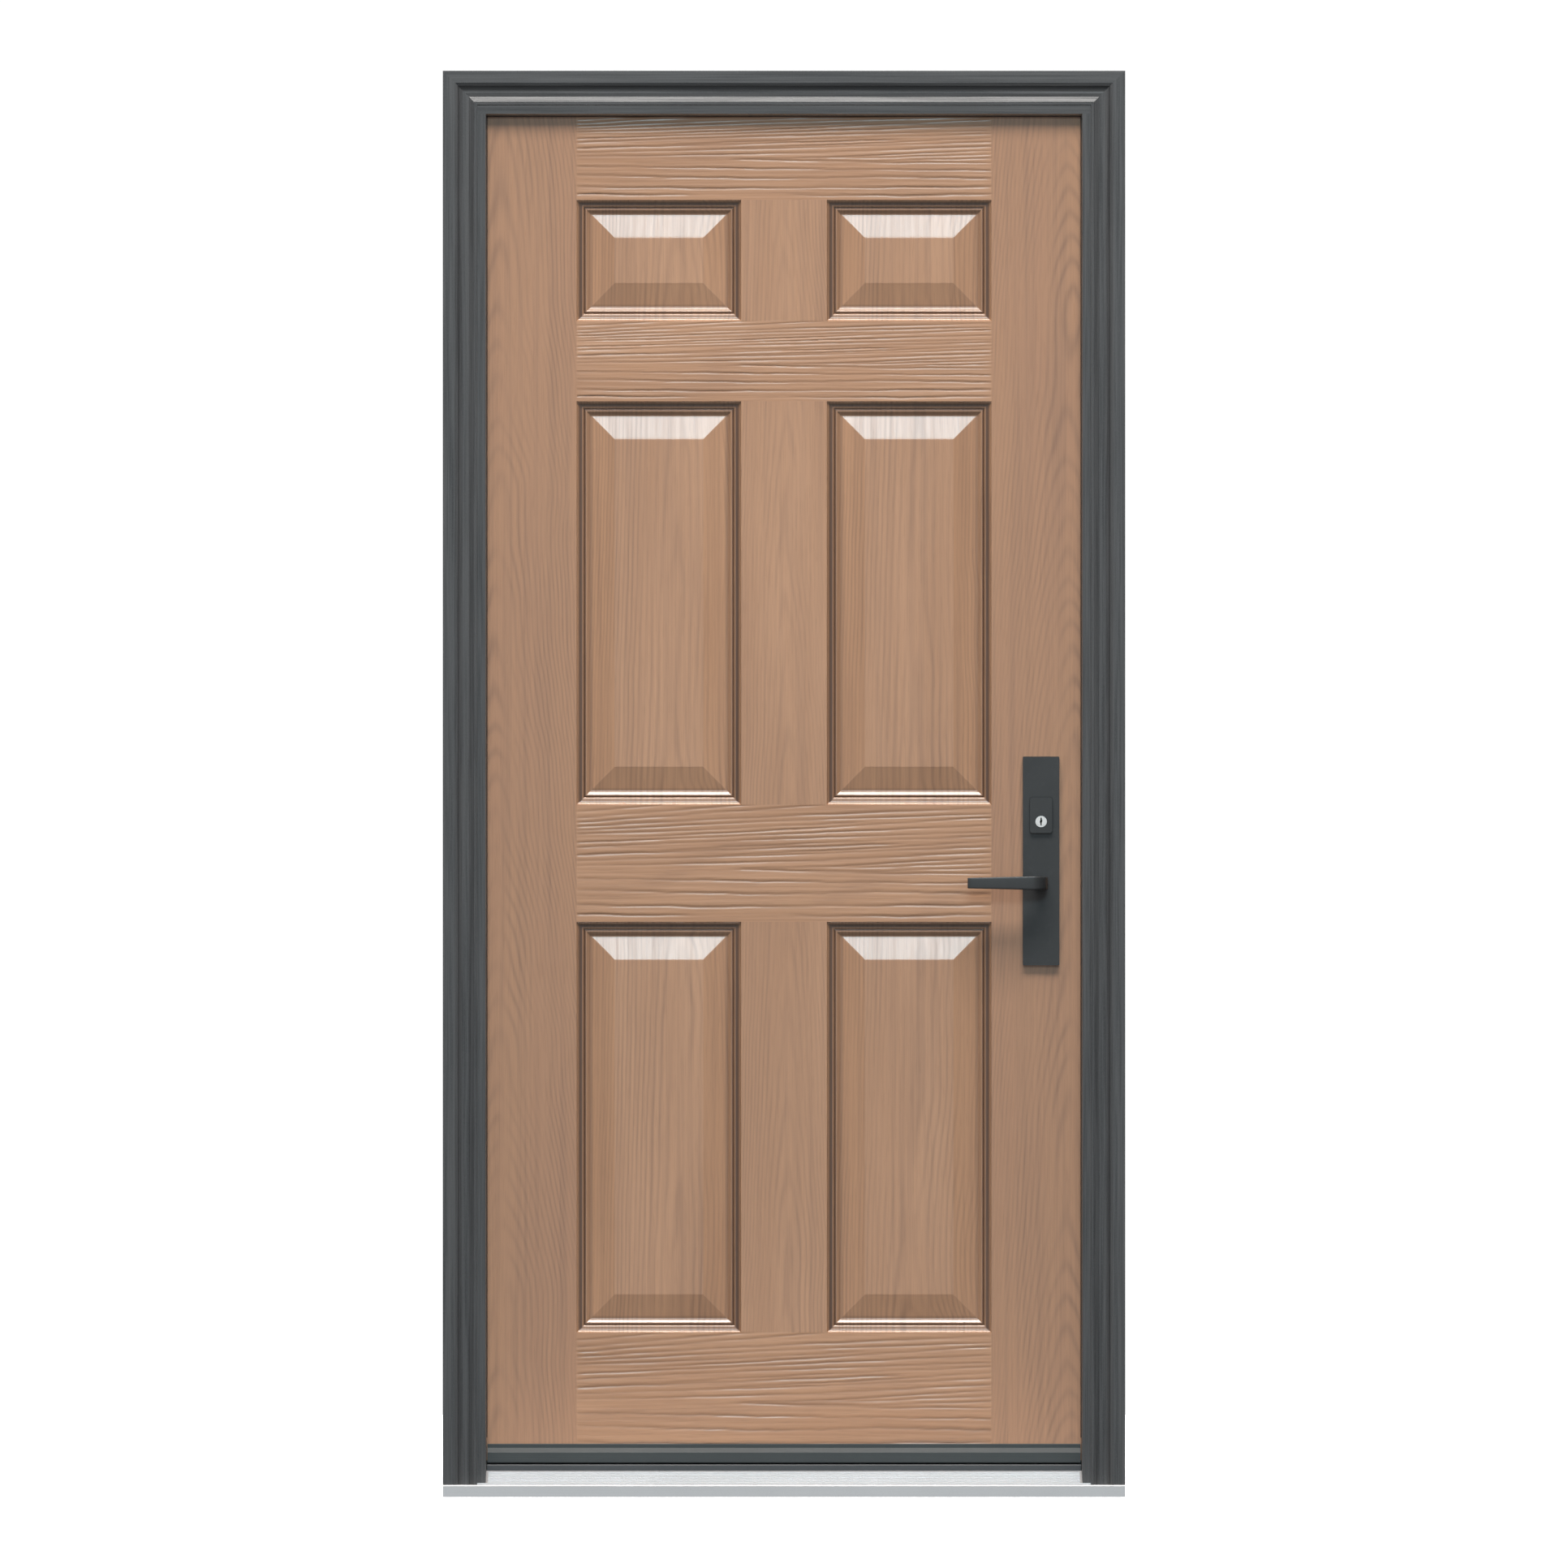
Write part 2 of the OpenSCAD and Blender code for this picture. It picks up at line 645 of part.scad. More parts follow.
// Holes through the slab for the spindle, the cylinder and the through bolts
module lock_holes() {
    rod_y(hub_r + 1.5, slab_y0 - 1, slab_y1 + 1, lx, lz);
    euro_shape(slab_y0 - 1, slab_y1 + 1, 0.6);
    for (s = [-1, 1])
        rod_y(post_r + fit, slab_y0 - 1, slab_y1 + 1, lx, plate_mid + s * bolt_hole_z);
}
core_y0 = slab_y0 + skin_t;
core_y1 = slab_y1 - skin_t;
module foam_core() {
    color("#e8d9a0") difference() {
        box([-xe + hinge_stile_w + glue, xe - lock_stile_w - glue], [core_y0 + glue, core_y1 - glue],
            [slab_z0 + core_bottom_rail + glue, slab_z1 - core_top_rail - glue]);
        panel_solids(false, skin_t + glue);
        panel_solids(true, skin_t + glue);
        box([block_x0 - glue, xe], [core_y0, core_y1], [block_z0 - glue, block_z1 + glue]);
    }
}
module hinge_stile() {
    color("#b98f66") difference() {
        box([-xe, -xe + hinge_stile_w], [core_y0, core_y1], [slab_z0, slab_z1]);
        leaf_mortises();
        for (z = hinge_zs)
            hinge_screw_places(z, 1) screw_room(hinge_screw_r, hinge_head_r, hinge_screw_len);
    }
}
module leaf_mortises() {
    for (z = hinge_zs) leaf_plate(-xe - 1, -xe + leaf_t + glue, z, leaf_h + 2 * glue, y_in + 1);
}
module top_rail() {
    color("#b98f66") box([-xe + hinge_stile_w, xe - lock_stile_w], [core_y0, core_y1],
        [slab_z1 - core_top_rail, slab_z1]);
}
module bottom_rail() {
    color("#6d6a66") box([-xe + hinge_stile_w, xe - lock_stile_w], [core_y0, core_y1],
        [slab_z0, slab_z0 + core_bottom_rail]);
}
// Everything cut out of the lock stile and the lock block
module lock_cuts() {
    box([face_x - glue, xe + 1], [yc - face_w / 2 - glue, yc + face_w / 2 + glue],
        [lower_z - face_end - glue, upper_z + face_end + glue]);
    box([rail_x0 - 0.6, xe], [yc - rail_half - 0.6, yc + rail_half + 0.6],
        [lower_z - 48, upper_z + 48]);
    box([case_x0 - fit, xe], [yc - case_half - fit, yc + case_half + fit],
        [case_z0 - fit, case_z1 + fit]);
    for (z = [lower_z, upper_z])
        box([xe - 43, xe], [yc - case_half - fit, yc + case_half + fit], [z - 36, z + 36]);
    for (z = face_screw_zs) face_screw_place(z) screw_room(1.9, 3.8, 22);
    lock_holes();
}
module lock_stile() {
    color("#b98f66") difference() {
        box([xe - lock_stile_w, xe], [core_y0, core_y1], [slab_z0, slab_z1]);
        lock_cuts();
    }
}
module lock_block() {
    color("#b98f66") difference() {
        box([block_x0, xe - lock_stile_w], [core_y0, core_y1], [block_z0, block_z1]);
        lock_cuts();
    }
}
// Sweep under the slab: a plate with soft fins down to the threshold cap
module door_sweep() {
    fin = 0.9;
    z0 = cap_top + seat;
    color("#1d1e1f") {
        box([-xe + 1, xe - 1], [slab_y0 + 1, slab_y1 - 1], [slab_z0 - 1.8, slab_z0]);
        for (i = [0:3]) {
            y = slab_y0 + 4 + i * (slab_t - 8 - fin) / 3;
            box([-xe + 1, xe - 1], [y, y + fin], [z0, slab_z0 - 1.7]);
        }
    }
}
drip_top = 24.8;
drip_out = 9;
module drip_cap() {
    b = slab_z0 - 3.7;
    t = slab_z0 + drip_top;
    translate([0, slab_y0, 0]) color("#44494b")
        along_x(-xs + 1.4, xs - 1.4) polygon([
            [0, t], [-1.4, t], [-2, t - 0.6], [-2, t - 6], [-drip_out, t - 13], [-drip_out, b + 1],
            [-drip_out + 1, b], [-drip_out + 2.2, b], [-drip_out + 2.2, t - 13.6], [-2, t - 9],
            [-2, b + 6], [0, b + 6]
        ]);
}

// ---------- Lock ----------

strike_screw_zs = [strike_z0 + 8, (lz + deadbolt_z) / 2, strike_z1 - 8,
    lower_z - keeper_half_h + 8, lower_z + keeper_half_h - 8,
    upper_z - keeper_half_h + 8, upper_z + keeper_half_h - 8];
module strike_screw_place(z) {
    translate([xr, (bolt_y0 + bolt_y1) / 2, z]) rotate([0, -90, 0]) children();
}
// A plate on the strike jamb's rabbet, with a lip at the indoor edge
module strike_plate(z0, z1) {
    box([xr, xr + strike_t], [yc - strike_half, y_in], [z0, z1]);
    box([xr, xr + strike_t], [y_in - 1, y_in + strike_t], [z0 + 6, z1 - 6]);
    box([xr, xr + 10], [y_in, y_in + strike_t], [z0 + 6, z1 - 6]);
}
module centre_strike() {
    color("silver") difference() {
        strike_plate(strike_z0, strike_z1);
        bolt_openings(1, xr + 4);
        for (z = strike_screw_zs) strike_screw_place(z) screw_room(1.9, 3.8, 6);
    }
}
module bolt_keepers() {
    color("silver") for (z = [lower_z, upper_z]) difference() {
        strike_plate(z - keeper_half_h, z + keeper_half_h);
        bolt_openings(1, xr + 4);
        for (s = strike_screw_zs) strike_screw_place(s) screw_room(1.9, 3.8, 6);
    }
}
module strike_screws() {
    color("silver") for (z = strike_screw_zs)
        strike_screw_place(z) translate([0, 0, -0.05]) flat_screw(1.9, 3.8, jamb_hold);
}
module face_screw_place(z) {
    translate([xe, yc, z]) rotate([0, 90, 0]) children();
}
module lock_faceplate() {
    color("silver") difference() {
        box([face_x, xe], [yc - face_w / 2, yc + face_w / 2], [lower_z - face_end, upper_z + face_end]);
        for (p = bolt_sizes)
            box([face_x - 1, xe + 1], [bolt_y0 - slide_fit, bolt_y1 + slide_fit],
                [p[0] - p[1] / 2 - slide_fit, p[0] + p[1] / 2 + slide_fit]);
        for (z = face_screw_zs) face_screw_place(z) screw_room(1.9, 3.8, 6);
        face_screw_place(cyl_screw_z) screw_room(2.1, 3.6, 6);
        box([face_x - 1, xe + 1], [snib_y - snib_r - slide_fit, snib_y + snib_r + slide_fit],
            [snib_z - snib_travel - snib_r - fit, snib_z + snib_r + fit]);
    }
}
module faceplate_screws() {
    color("silver") for (z = face_screw_zs)
        face_screw_place(z) translate([0, 0, -0.05]) flat_screw(1.9, 3.8, 21);
}

// Main case: a tray and a cover, open at the front towards the rail
module case_holes() {
    rod_y(hub_r - 2 + run, slab_y0, slab_y1, lx, lz);
    euro_shape(slab_y0, slab_y1, 0.4);
}
module lock_case() {
    back = yc - case_half + wall;
    color("#8b8f92") difference() {
        union() {
            box([case_x0, case_x1], [yc - case_half, yc + case_half - wall], [case_z0, case_z1]);
            box([case_x1 - 1, face_x], [yc - case_half, back], [case_z0, case_z1]);
        }
        box([case_x0 + wall, case_x1 + 1], [back, yc + case_half], [case_z0 + wall, case_z1 - wall]);
        case_holes();
    }
}
module lock_case_cover() {
    color("#8b8f92") difference() {
        box([case_x0, case_x1], [yc + case_half - wall, yc + case_half], [case_z0, case_z1]);
        case_holes();
    }
}
// Cases of the two multipoint bolts, each with a rib above and below its bolt
module bolt_cases() {
    x0 = xe - 42.5;
    half_z = 35.5;
    color("#8b8f92") for (z = [lower_z, upper_z]) {
        difference() {
            union() {
                box([x0, case_x1], [yc - case_half, yc + case_half], [z - half_z, z + half_z]);
                box([case_x1 - 1, face_x], [yc - case_half, yc - case_half + wall],
                    [z - half_z, z + half_z]);
            }
            box([x0 + wall, case_x1 + 1], [yc - case_half + wall, yc + case_half - wall],
                [z - half_z + wall, z + half_z - wall]);
        }
        for (s = [-1, 1]) {
            rib_z = z + s * (tongue_h / 2 + slide_fit + wall / 2);
            box([x0 + 1, case_x1 - 2], [yc - case_half + 1, bolt_y1], [rib_z - wall / 2, rib_z + wall / 2]);
        }
    }
}

// Euro profile, lobe upwards, grown by g
module euro_shape(a, b, g) {
    rod_y(euro_r + g, a, b, lx, cz);
    rod_y(euro_lobe_r + g, a, b, lx, cz + lobe_top - euro_lobe_r);
    box([lx - euro_lobe_r - g, lx + euro_lobe_r + g], [a, b], [cz, cz + lobe_top - euro_lobe_r]);
}
module cylinder_body() {
    color("#c9cacb") difference() {
        union() {
            euro_shape(cyl_y0 + 0.2, cyl_y1, 0);
            rod_y(euro_r, cyl_y0 - cover_t + 0.4, cyl_y0 + 2, lx, cz);
        }
        rod_y(plug_r + run, cyl_y0 - cover_t - 1, yc, lx, cz);
        rod_y(shaft_r + run, yc, cyl_y1 + 1, lx, cz);
        box([lx - 20, lx + 20], [yc - cam_half, yc + cam_half], [cz - 20, cz + euro_r + 3.5]);
        rod_x(2.15, lx, lx + 20, yc, cyl_screw_z);
    }
}
module cylinder_screw() {
    color("silver") face_screw_place(cyl_screw_z) translate([0, 0, -0.05])
        flat_screw(2.1, 3.6, backset - 1);
}
// Plug that the key turns, with a stepped keyway
module key_plug() {
    y = [cyl_y0 - cover_t - 1, yc - cam_half - 3];
    color("#d9dadb") difference() {
        rod_y(plug_r, cyl_y0 - cover_t + 0.2, yc - cam_half, lx, cz);
        box([lx - 0.9, lx + 0.9], y, [cz - 4.4, cz + 4.4]);
        box([lx - 0.2, lx + 1.9], y, [cz + 0.8, cz + 2.6]);
        box([lx - 1.9, lx + 0.2], y, [cz - 2.2, cz - 0.4]);
    }
}
// Crank on the cylinder's axis: one pin drives the deadbolt, the other lifts the rail
module bolt_crank() {
    a0 = yc - 2.6;
    a1 = yc + 2;
    color("#9a9da0") {
        rod_y(shaft_r + 1.5, a0, a1, lx, cz);
        rod_y(shaft_r, a1 - 1, thumb_y + 5, lx, cz);
        for (s = [-1, 1]) {
            rod_y(drive_pin_r + 1.6, a0, a1, lx + s * half_reach, cz - half_reach);
            along_y(a0, a1) translate([lx, cz]) rotate(-90 + 45 * s) polygon([
                [0, -4.8], [crank_r, -3.7], [crank_r, 3.7], [0, 4.8]
            ]);
        }
        rod_y(drive_pin_r, a1 - 0.5, slide_y1, lx + half_reach, cz - half_reach);
        rod_y(drive_pin_r, tail_y[0], a0 + 0.5, lx - half_reach, cz - half_reach);
    }
}
module thumbturn() {
    color("#3c3f41") difference() {
        union() {
            rod_y(11, thumb_y, thumb_y + 7, lx, cz);
            along_y(thumb_y + 5, thumb_y + 24) translate([lx, cz]) rounded(9, 36, 4.4);
        }
        rod_y(shaft_r + 0.02, thumb_y - 1, thumb_y + 5.02, lx, cz);
    }
}

// Deadbolt: a head through the faceplate and a tail with the crank's slot
module deadbolt() {
    slot_x = lx - half_reach;
    slot = drive_pin_r + crank_play;
    color("#b9bcbe") difference() {
        union() {
            box([bolt_front - 28, bolt_front], [bolt_y0, bolt_y1],
                [deadbolt_z - deadbolt_h / 2, deadbolt_z + deadbolt_h / 2]);
            box([slot_x - slot - 4, bolt_front - 27], tail_y, [cz - crank_r - 6, cz - half_reach + 6]);
        }
        box([slot_x - slot, slot_x + slot], [bolt_y0 - 1, yc],
            [cz - crank_r - drive_slot, cz - half_reach + drive_slot]);
    }
}
// Latch, drawn back: a bevelled head, and a tail over the hub's arm with a bar behind it
module latch_bolt() {
    bar_x = lx - latch_throw - arm_half - 0.5;
    head_x = bolt_front - 20;
    over = lz + hub_arm + 0.5;
    slope = 2 * (catch_in + fit);
    color("#b9bcbe") difference() {
        union() {
            box([head_x, bolt_front], [bolt_y0, bolt_y1], [lz - latch_h / 2, lz + latch_h / 2]);
            box([bar_x - 4, head_x + 1], tail_y, [over, over + 6]);
            box([bar_x - 4, bar_x], tail_y, [lz + hub_r + 0.6, over + 1]);
            box([lx + 19, head_x + 1], tail_y, [lz - latch_h / 2, over + 1]);
        }
        translate([bolt_front, bolt_y1 - 1, lz - latch_h]) rotate([0, 0, 47])
            translate([-30, -20, 0]) cube([60, 20, 2 * latch_h]);
        along_y(bolt_y0 - 1, yc) translate([catch_x, lz - latch_h / 2]) polygon([
            [catch_w + fit, -1], [catch_w + fit, catch_in + fit], [-fit, catch_in + fit],
            [-fit - slope, 0], [-fit - slope, -1]
        ]);
    }
}
// Hold-back button in the faceplate, with a catch up into the latch's tail
module latch_snib() {
    color("#8b8f92") {
        rod_x(snib_r, catch_x + 1, xe + 1.2, snib_y, snib_z);
        box([catch_x, catch_x + catch_w], tail_y, [snib_z - snib_r, lz - latch_h / 2 + catch_in]);
    }
}
// A sliding tongue of the multipoint lock, with its drive pin
module tongue(z) {
    color("#b9bcbe") {
        box([bolt_front - tongue_len, bolt_front], [bolt_y0, bolt_y1],
            [z - tongue_h / 2, z + tongue_h / 2]);
        rod_y(drive_pin_r, bolt_y1 - 0.5, slide_y1, bolt_front - pin_back, z);
    }
}
module upper_bolt() { tongue(upper_z); }
module lower_bolt() { tongue(lower_z); }

// Rail behind the faceplate, with a slide plate at each bolt and a fork for the crank
module drive_rail() {
    px = bolt_front - pin_back;
    x = [rail_x0 - 1, rail_x0 + rail_t + 1];
    y = [slide_y0, slide_y1];
    color("#8b8f92") difference() {
        union() {
            box([rail_x0, rail_x0 + rail_t], [yc - rail_half, yc + rail_half],
                [lower_z - 26, upper_z + 22]);
            for (z = [lower_z, upper_z]) box([px - 6.5, rail_x0 + 0.5], y, [z - throw - 6.5, z + 6.5]);
            box([lx + shaft_r + 0.8, rail_x0 + 0.5], y, [cz - half_reach - 7, cz - half_reach + 7]);
        }
        for (z = [lower_z, upper_z]) {
            for (i = [0, 1]) rod_y(drive_slot, y[0] - 1, y[1] + 1, px + i * throw, z - i * throw);
            along_y(y[0] - 1, y[1] + 1) translate([px, z]) rotate(-45)
                translate([0, -drive_slot]) square([throw * sqrt(2), 2 * drive_slot]);
        }
        box([lx, lx + crank_r + drive_slot], [y[0] - 1, y[1] + 1],
            [cz - half_reach - drive_pin_r - crank_play, cz - half_reach + drive_pin_r + crank_play]);
        for (p = bolt_sizes)
            box(x, [yc - rail_half - 1, bolt_y1 + fit], [p[0] - p[1] / 2 - throw - 0.4, p[0] + p[1] / 2 + 0.4]);
        for (z = concat([cyl_screw_z], [for (i = [1:4]) face_screw_zs[i]]))
            box(x, [yc - 2.7, yc + 2.7], [z - throw - 2.7, z + 2.7]);
        box(x, [yc - rail_half - 1, snib_y + snib_r + fit],
            [snib_z - snib_travel - snib_r - throw - fit, snib_z + snib_r + fit]);
    }
}

// Hub on the square spindle, with an arm up to the bar of the latch
module lever_hub() {
    color("#9a9da0") difference() {
        union() {
            rod_y(hub_r - 2, yc - case_half, yc + case_half, lx, lz);
            rod_y(hub_r, yc - case_half + wall + 0.3, yc + case_half - wall - 0.3, lx, lz);
            box([lx - arm_half, lx + arm_half], [bolt_y0 + 0.1, yc - 1], [lz, lz + hub_arm]);
        }
        spindle_room();
    }
}
module spindle_room() {
    box([lx - spindle / 2 - run, lx + spindle / 2 + run], [spindle_y0 - 0.2, spindle_y1 + 0.2],
        [lz - spindle / 2 - run, lz + spindle / 2 + run]);
}
spindle_y0 = slab_y0 - plate_t - 22;
spindle_y1 = slab_y1 + plate_t + 22;
module spindle() {
    color("#9a9da0") box([lx - spindle / 2, lx + spindle / 2], [spindle_y0, spindle_y1],
        [lz - spindle / 2, lz + spindle / 2]);
}
// A handle plate from y0 to y1, with holes for the lever's neck and the bolts
neck_r = 10;
module plate(a, b) {
    translate([lx, 0, plate_mid]) along_y(a, b) rounded(plate_w, plate_h, 1.5);
}
module outside_escutcheon() {
    a = slab_y0 - plate_t;
    color("#434547") difference() {
        union() {
            plate(a, slab_y0);
            for (s = [-1, 1])
                rod_y(post_r, slab_y0 - 1, slab_y0 + 18, lx, plate_mid + s * bolt_hole_z);
        }
        rod_y(neck_r + 0.4, a - 1, slab_y0 + 1, lx, lz);
        euro_shape(a - 1, slab_y0 + 1, 0.3);
        for (s = [-1, 1])
            rod_y(through_r, slab_y0 - plate_t + 3, slab_y0 + 19, lx, plate_mid + s * bolt_hole_z);
    }
}
module inside_escutcheon() {
    b = slab_y1 + plate_t;
    color("#434547") difference() {
        plate(slab_y1, b);
        rod_y(neck_r + 0.4, slab_y1 - 1, b + 1, lx, lz);
        euro_shape(slab_y1 - 1, b + 1, 0.3);
        for (s = [-1, 1]) bolt_place(s) screw_room(through_r, 4.6, slab_t);
    }
}
module bolt_place(s) {
    translate([lx, slab_y1 + plate_t, plate_mid + s * bolt_hole_z]) rotate([-90, 0, 0]) children();
}
module escutcheon_bolts() {
    color("#434547") for (s = [-1, 1])
        bolt_place(s) translate([0, 0, -0.05])
            flat_screw(through_r - 0.02, 4.6, slab_t + 2 * plate_t - 5);
}
module cylinder_cover() {
    a = slab_y0 - plate_t;
    color("#434547") difference() {
        translate([lx, 0, cover_mid]) along_y(a - cover_t, a) rounded(cover_w, cover_h, cover_r);
        rod_y(euro_r + 0.3, a - cover_t - 1, a + 1, lx, cz);
    }
}

// Lever in plan, from its axis to its tip at -X, with a round bend of the neck into the blade
blade_t = 11;
blade_root = 20.5;
blade_tip = 16;
bend_r = 24;
inner_r = 8;
module lever_plan() {
    difference() {
        union() {
            translate([-lever_len, -lever_out]) square([lever_len + neck_r - bend_r, bend_r]);
            translate([neck_r - bend_r, -lever_out + bend_r]) circle(bend_r);
            translate([-neck_r, -lever_out + bend_r]) square([2 * neck_r, lever_out - bend_r - 0.6]);
        }
        translate([-lever_len - 1, -lever_out + blade_t]) square([lever_len + 1 - neck_r - inner_r, 99]);
        translate([-neck_r - 30, -lever_out + blade_t + inner_r]) square([30, 99]);
        translate([-neck_r - inner_r, -lever_out + blade_t + inner_r]) circle(inner_r);
    }
}
module lever(indoor) {
    base = indoor ? slab_y1 + plate_t : slab_y0 - plate_t;
    color("#3c3f41") difference() {
        translate([lx, base, lz]) scale([1, indoor ? -1 : 1, 1]) {
            intersection() {
                translate([0, 0, -blade_root]) linear_extrude(2 * blade_root) lever_plan();
                along_y(-lever_out - 1, 0) polygon([
                    [neck_r, blade_root / 2], [-neck_r, blade_root / 2], [-lever_len, blade_tip / 2],
                    [-lever_len, -blade_tip / 2], [-neck_r, -blade_root / 2], [neck_r, -blade_root / 2]
                ]);
                union() {
                    rod_y(blade_root / 2, -lever_out - 1, 0, 0, 0);
                    box([-lever_len, 0], [-lever_out - 1, -lever_out + bend_r], [-blade_root, blade_root]);
                }
            }
            rod_y(neck_r, -lever_out + bend_r, plate_t - 1, 0, 0);
        }
        spindle_room();
        translate([lx, base, lz]) scale([1, indoor ? -1 : 1, 1]) rod_z(2.6, -20, 0, 0, -8);
    }
}
module outside_lever() { lever(false); }
module inside_lever() { lever(true); }
module lever_grub_screws() {
    color("#2b2d2e") for (y = [slab_y0 - plate_t - 8, slab_y1 + plate_t + 8]) difference() {
        rod_z(2.5, lz - neck_r + 0.6, lz - spindle / 2 - 0.1, lx, y);
        rod_z(1.2, lz - neck_r - 1, lz - neck_r + 3.2, lx, y);
    }
}

// ---------- Nodes ----------

hinge_jamb();
strike_jamb();
head_jamb();
hinge_brickmould();
strike_brickmould();
head_brickmould();
weatherstrip();
corner_pads();
sill_extrusion();
sill_base();
threshold_cap();
threshold_screws();
centre_strike();
bolt_keepers();
strike_screws();
hinge_leaf(hinge_zs[0], -1);  // top_frame_leaf
hinge_leaf(hinge_zs[1], -1);  // middle_frame_leaf
hinge_leaf(hinge_zs[2], -1);  // bottom_frame_leaf
frame_hinge_screws();
hinge_pins();
jamb_screws();
exterior_skin();
interior_skin();
foam_core();
hinge_stile();
lock_stile();
top_rail();
bottom_rail();
lock_block();
door_sweep();
drip_cap();
hinge_leaf(hinge_zs[0], 1);  // top_door_leaf
hinge_leaf(hinge_zs[1], 1);  // middle_door_leaf
hinge_leaf(hinge_zs[2], 1);  // bottom_door_leaf
door_hinge_screws();
lock_faceplate();
faceplate_screws();
lock_case();
lock_case_cover();
bolt_cases();
outside_escutcheon();
inside_escutcheon();
escutcheon_bolts();
cylinder_cover();
cylinder_body();
cylinder_screw();
outside_lever();
inside_lever();
spindle();
lever_hub();
lever_grub_screws();
thumbturn();
bolt_crank();
key_plug();
latch_bolt();
latch_snib();
deadbolt();
drive_rail();
upper_bolt();
lower_bolt();
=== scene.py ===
# Looks of the panelled front door: moulded wood-grain skins, painted frame, metal sill and a
# graphite handle set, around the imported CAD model. All sizes in metres, in the row frame.
import json
import math
import bmesh
import bpy
import numpy as np
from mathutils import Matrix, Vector

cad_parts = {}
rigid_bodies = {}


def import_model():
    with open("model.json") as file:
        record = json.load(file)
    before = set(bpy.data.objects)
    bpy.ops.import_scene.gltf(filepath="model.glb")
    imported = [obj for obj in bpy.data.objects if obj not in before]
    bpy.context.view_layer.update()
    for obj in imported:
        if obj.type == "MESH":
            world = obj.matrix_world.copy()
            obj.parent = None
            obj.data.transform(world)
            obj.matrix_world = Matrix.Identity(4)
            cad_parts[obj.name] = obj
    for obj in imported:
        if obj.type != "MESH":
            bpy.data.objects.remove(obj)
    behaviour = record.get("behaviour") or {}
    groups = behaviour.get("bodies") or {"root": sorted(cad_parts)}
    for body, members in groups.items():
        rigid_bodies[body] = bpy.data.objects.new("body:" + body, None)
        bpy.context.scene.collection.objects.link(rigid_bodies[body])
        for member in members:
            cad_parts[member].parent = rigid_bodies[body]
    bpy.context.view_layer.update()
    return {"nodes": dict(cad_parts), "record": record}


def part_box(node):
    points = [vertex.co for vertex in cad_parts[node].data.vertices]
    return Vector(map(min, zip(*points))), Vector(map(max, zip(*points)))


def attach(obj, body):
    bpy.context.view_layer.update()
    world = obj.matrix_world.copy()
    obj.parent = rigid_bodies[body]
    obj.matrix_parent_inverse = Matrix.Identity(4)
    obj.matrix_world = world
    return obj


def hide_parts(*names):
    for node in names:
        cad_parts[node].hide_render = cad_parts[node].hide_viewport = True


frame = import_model()
MM = 0.001


# ---------- Places, read from the CAD nodes, and the face widths of the door ---

def size(node):
    """The low corner, high corner and middle of a CAD node's box."""
    lo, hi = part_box(node)
    return lo, hi, (lo + hi) / 2


skin_lo, skin_hi, _ = size("exterior_skin")
_, inner_hi, _ = size("interior_skin")
plate_lo, plate_hi, _ = size("outside_escutcheon")
_, in_plate_hi, _ = size("inside_escutcheon")
cover_lo, cover_hi, _ = size("cylinder_cover")
_, _, lever_axis = size("spindle")
_, _, key_axis = size("key_plug")
leaf_boxes = [size(n) for n in ("top_door_leaf", "middle_door_leaf", "bottom_door_leaf")]

SKIN_T = 2 * MM
XE = skin_hi.x
Z0, Z1 = skin_lo.z, skin_hi.z
OUT_FACE, IN_FACE = skin_lo.y, inner_hi.y

# Face widths of the moulded door, from the edges inwards and from the bottom up
STILE = 144 * MM
MULLION = 128 * MM
ROWS = [191, 614, 175, None, 120, 181, 135]
known = sum(r for r in ROWS if r) * MM
ROWS = [r * MM if r else Z1 - Z0 - known for r in ROWS]
LEVELS = list(np.cumsum([Z0] + ROWS))
PANEL_X = [(-XE + STILE, -MULLION / 2), (MULLION / 2, XE - STILE)]
PANEL_Z = [(LEVELS[i], LEVELS[i + 1]) for i in (1, 3, 5)]
RAIL_Z = [(LEVELS[i], LEVELS[i + 1]) for i in (0, 2, 4, 6)]


# ---------- Node graphs for materials ----------

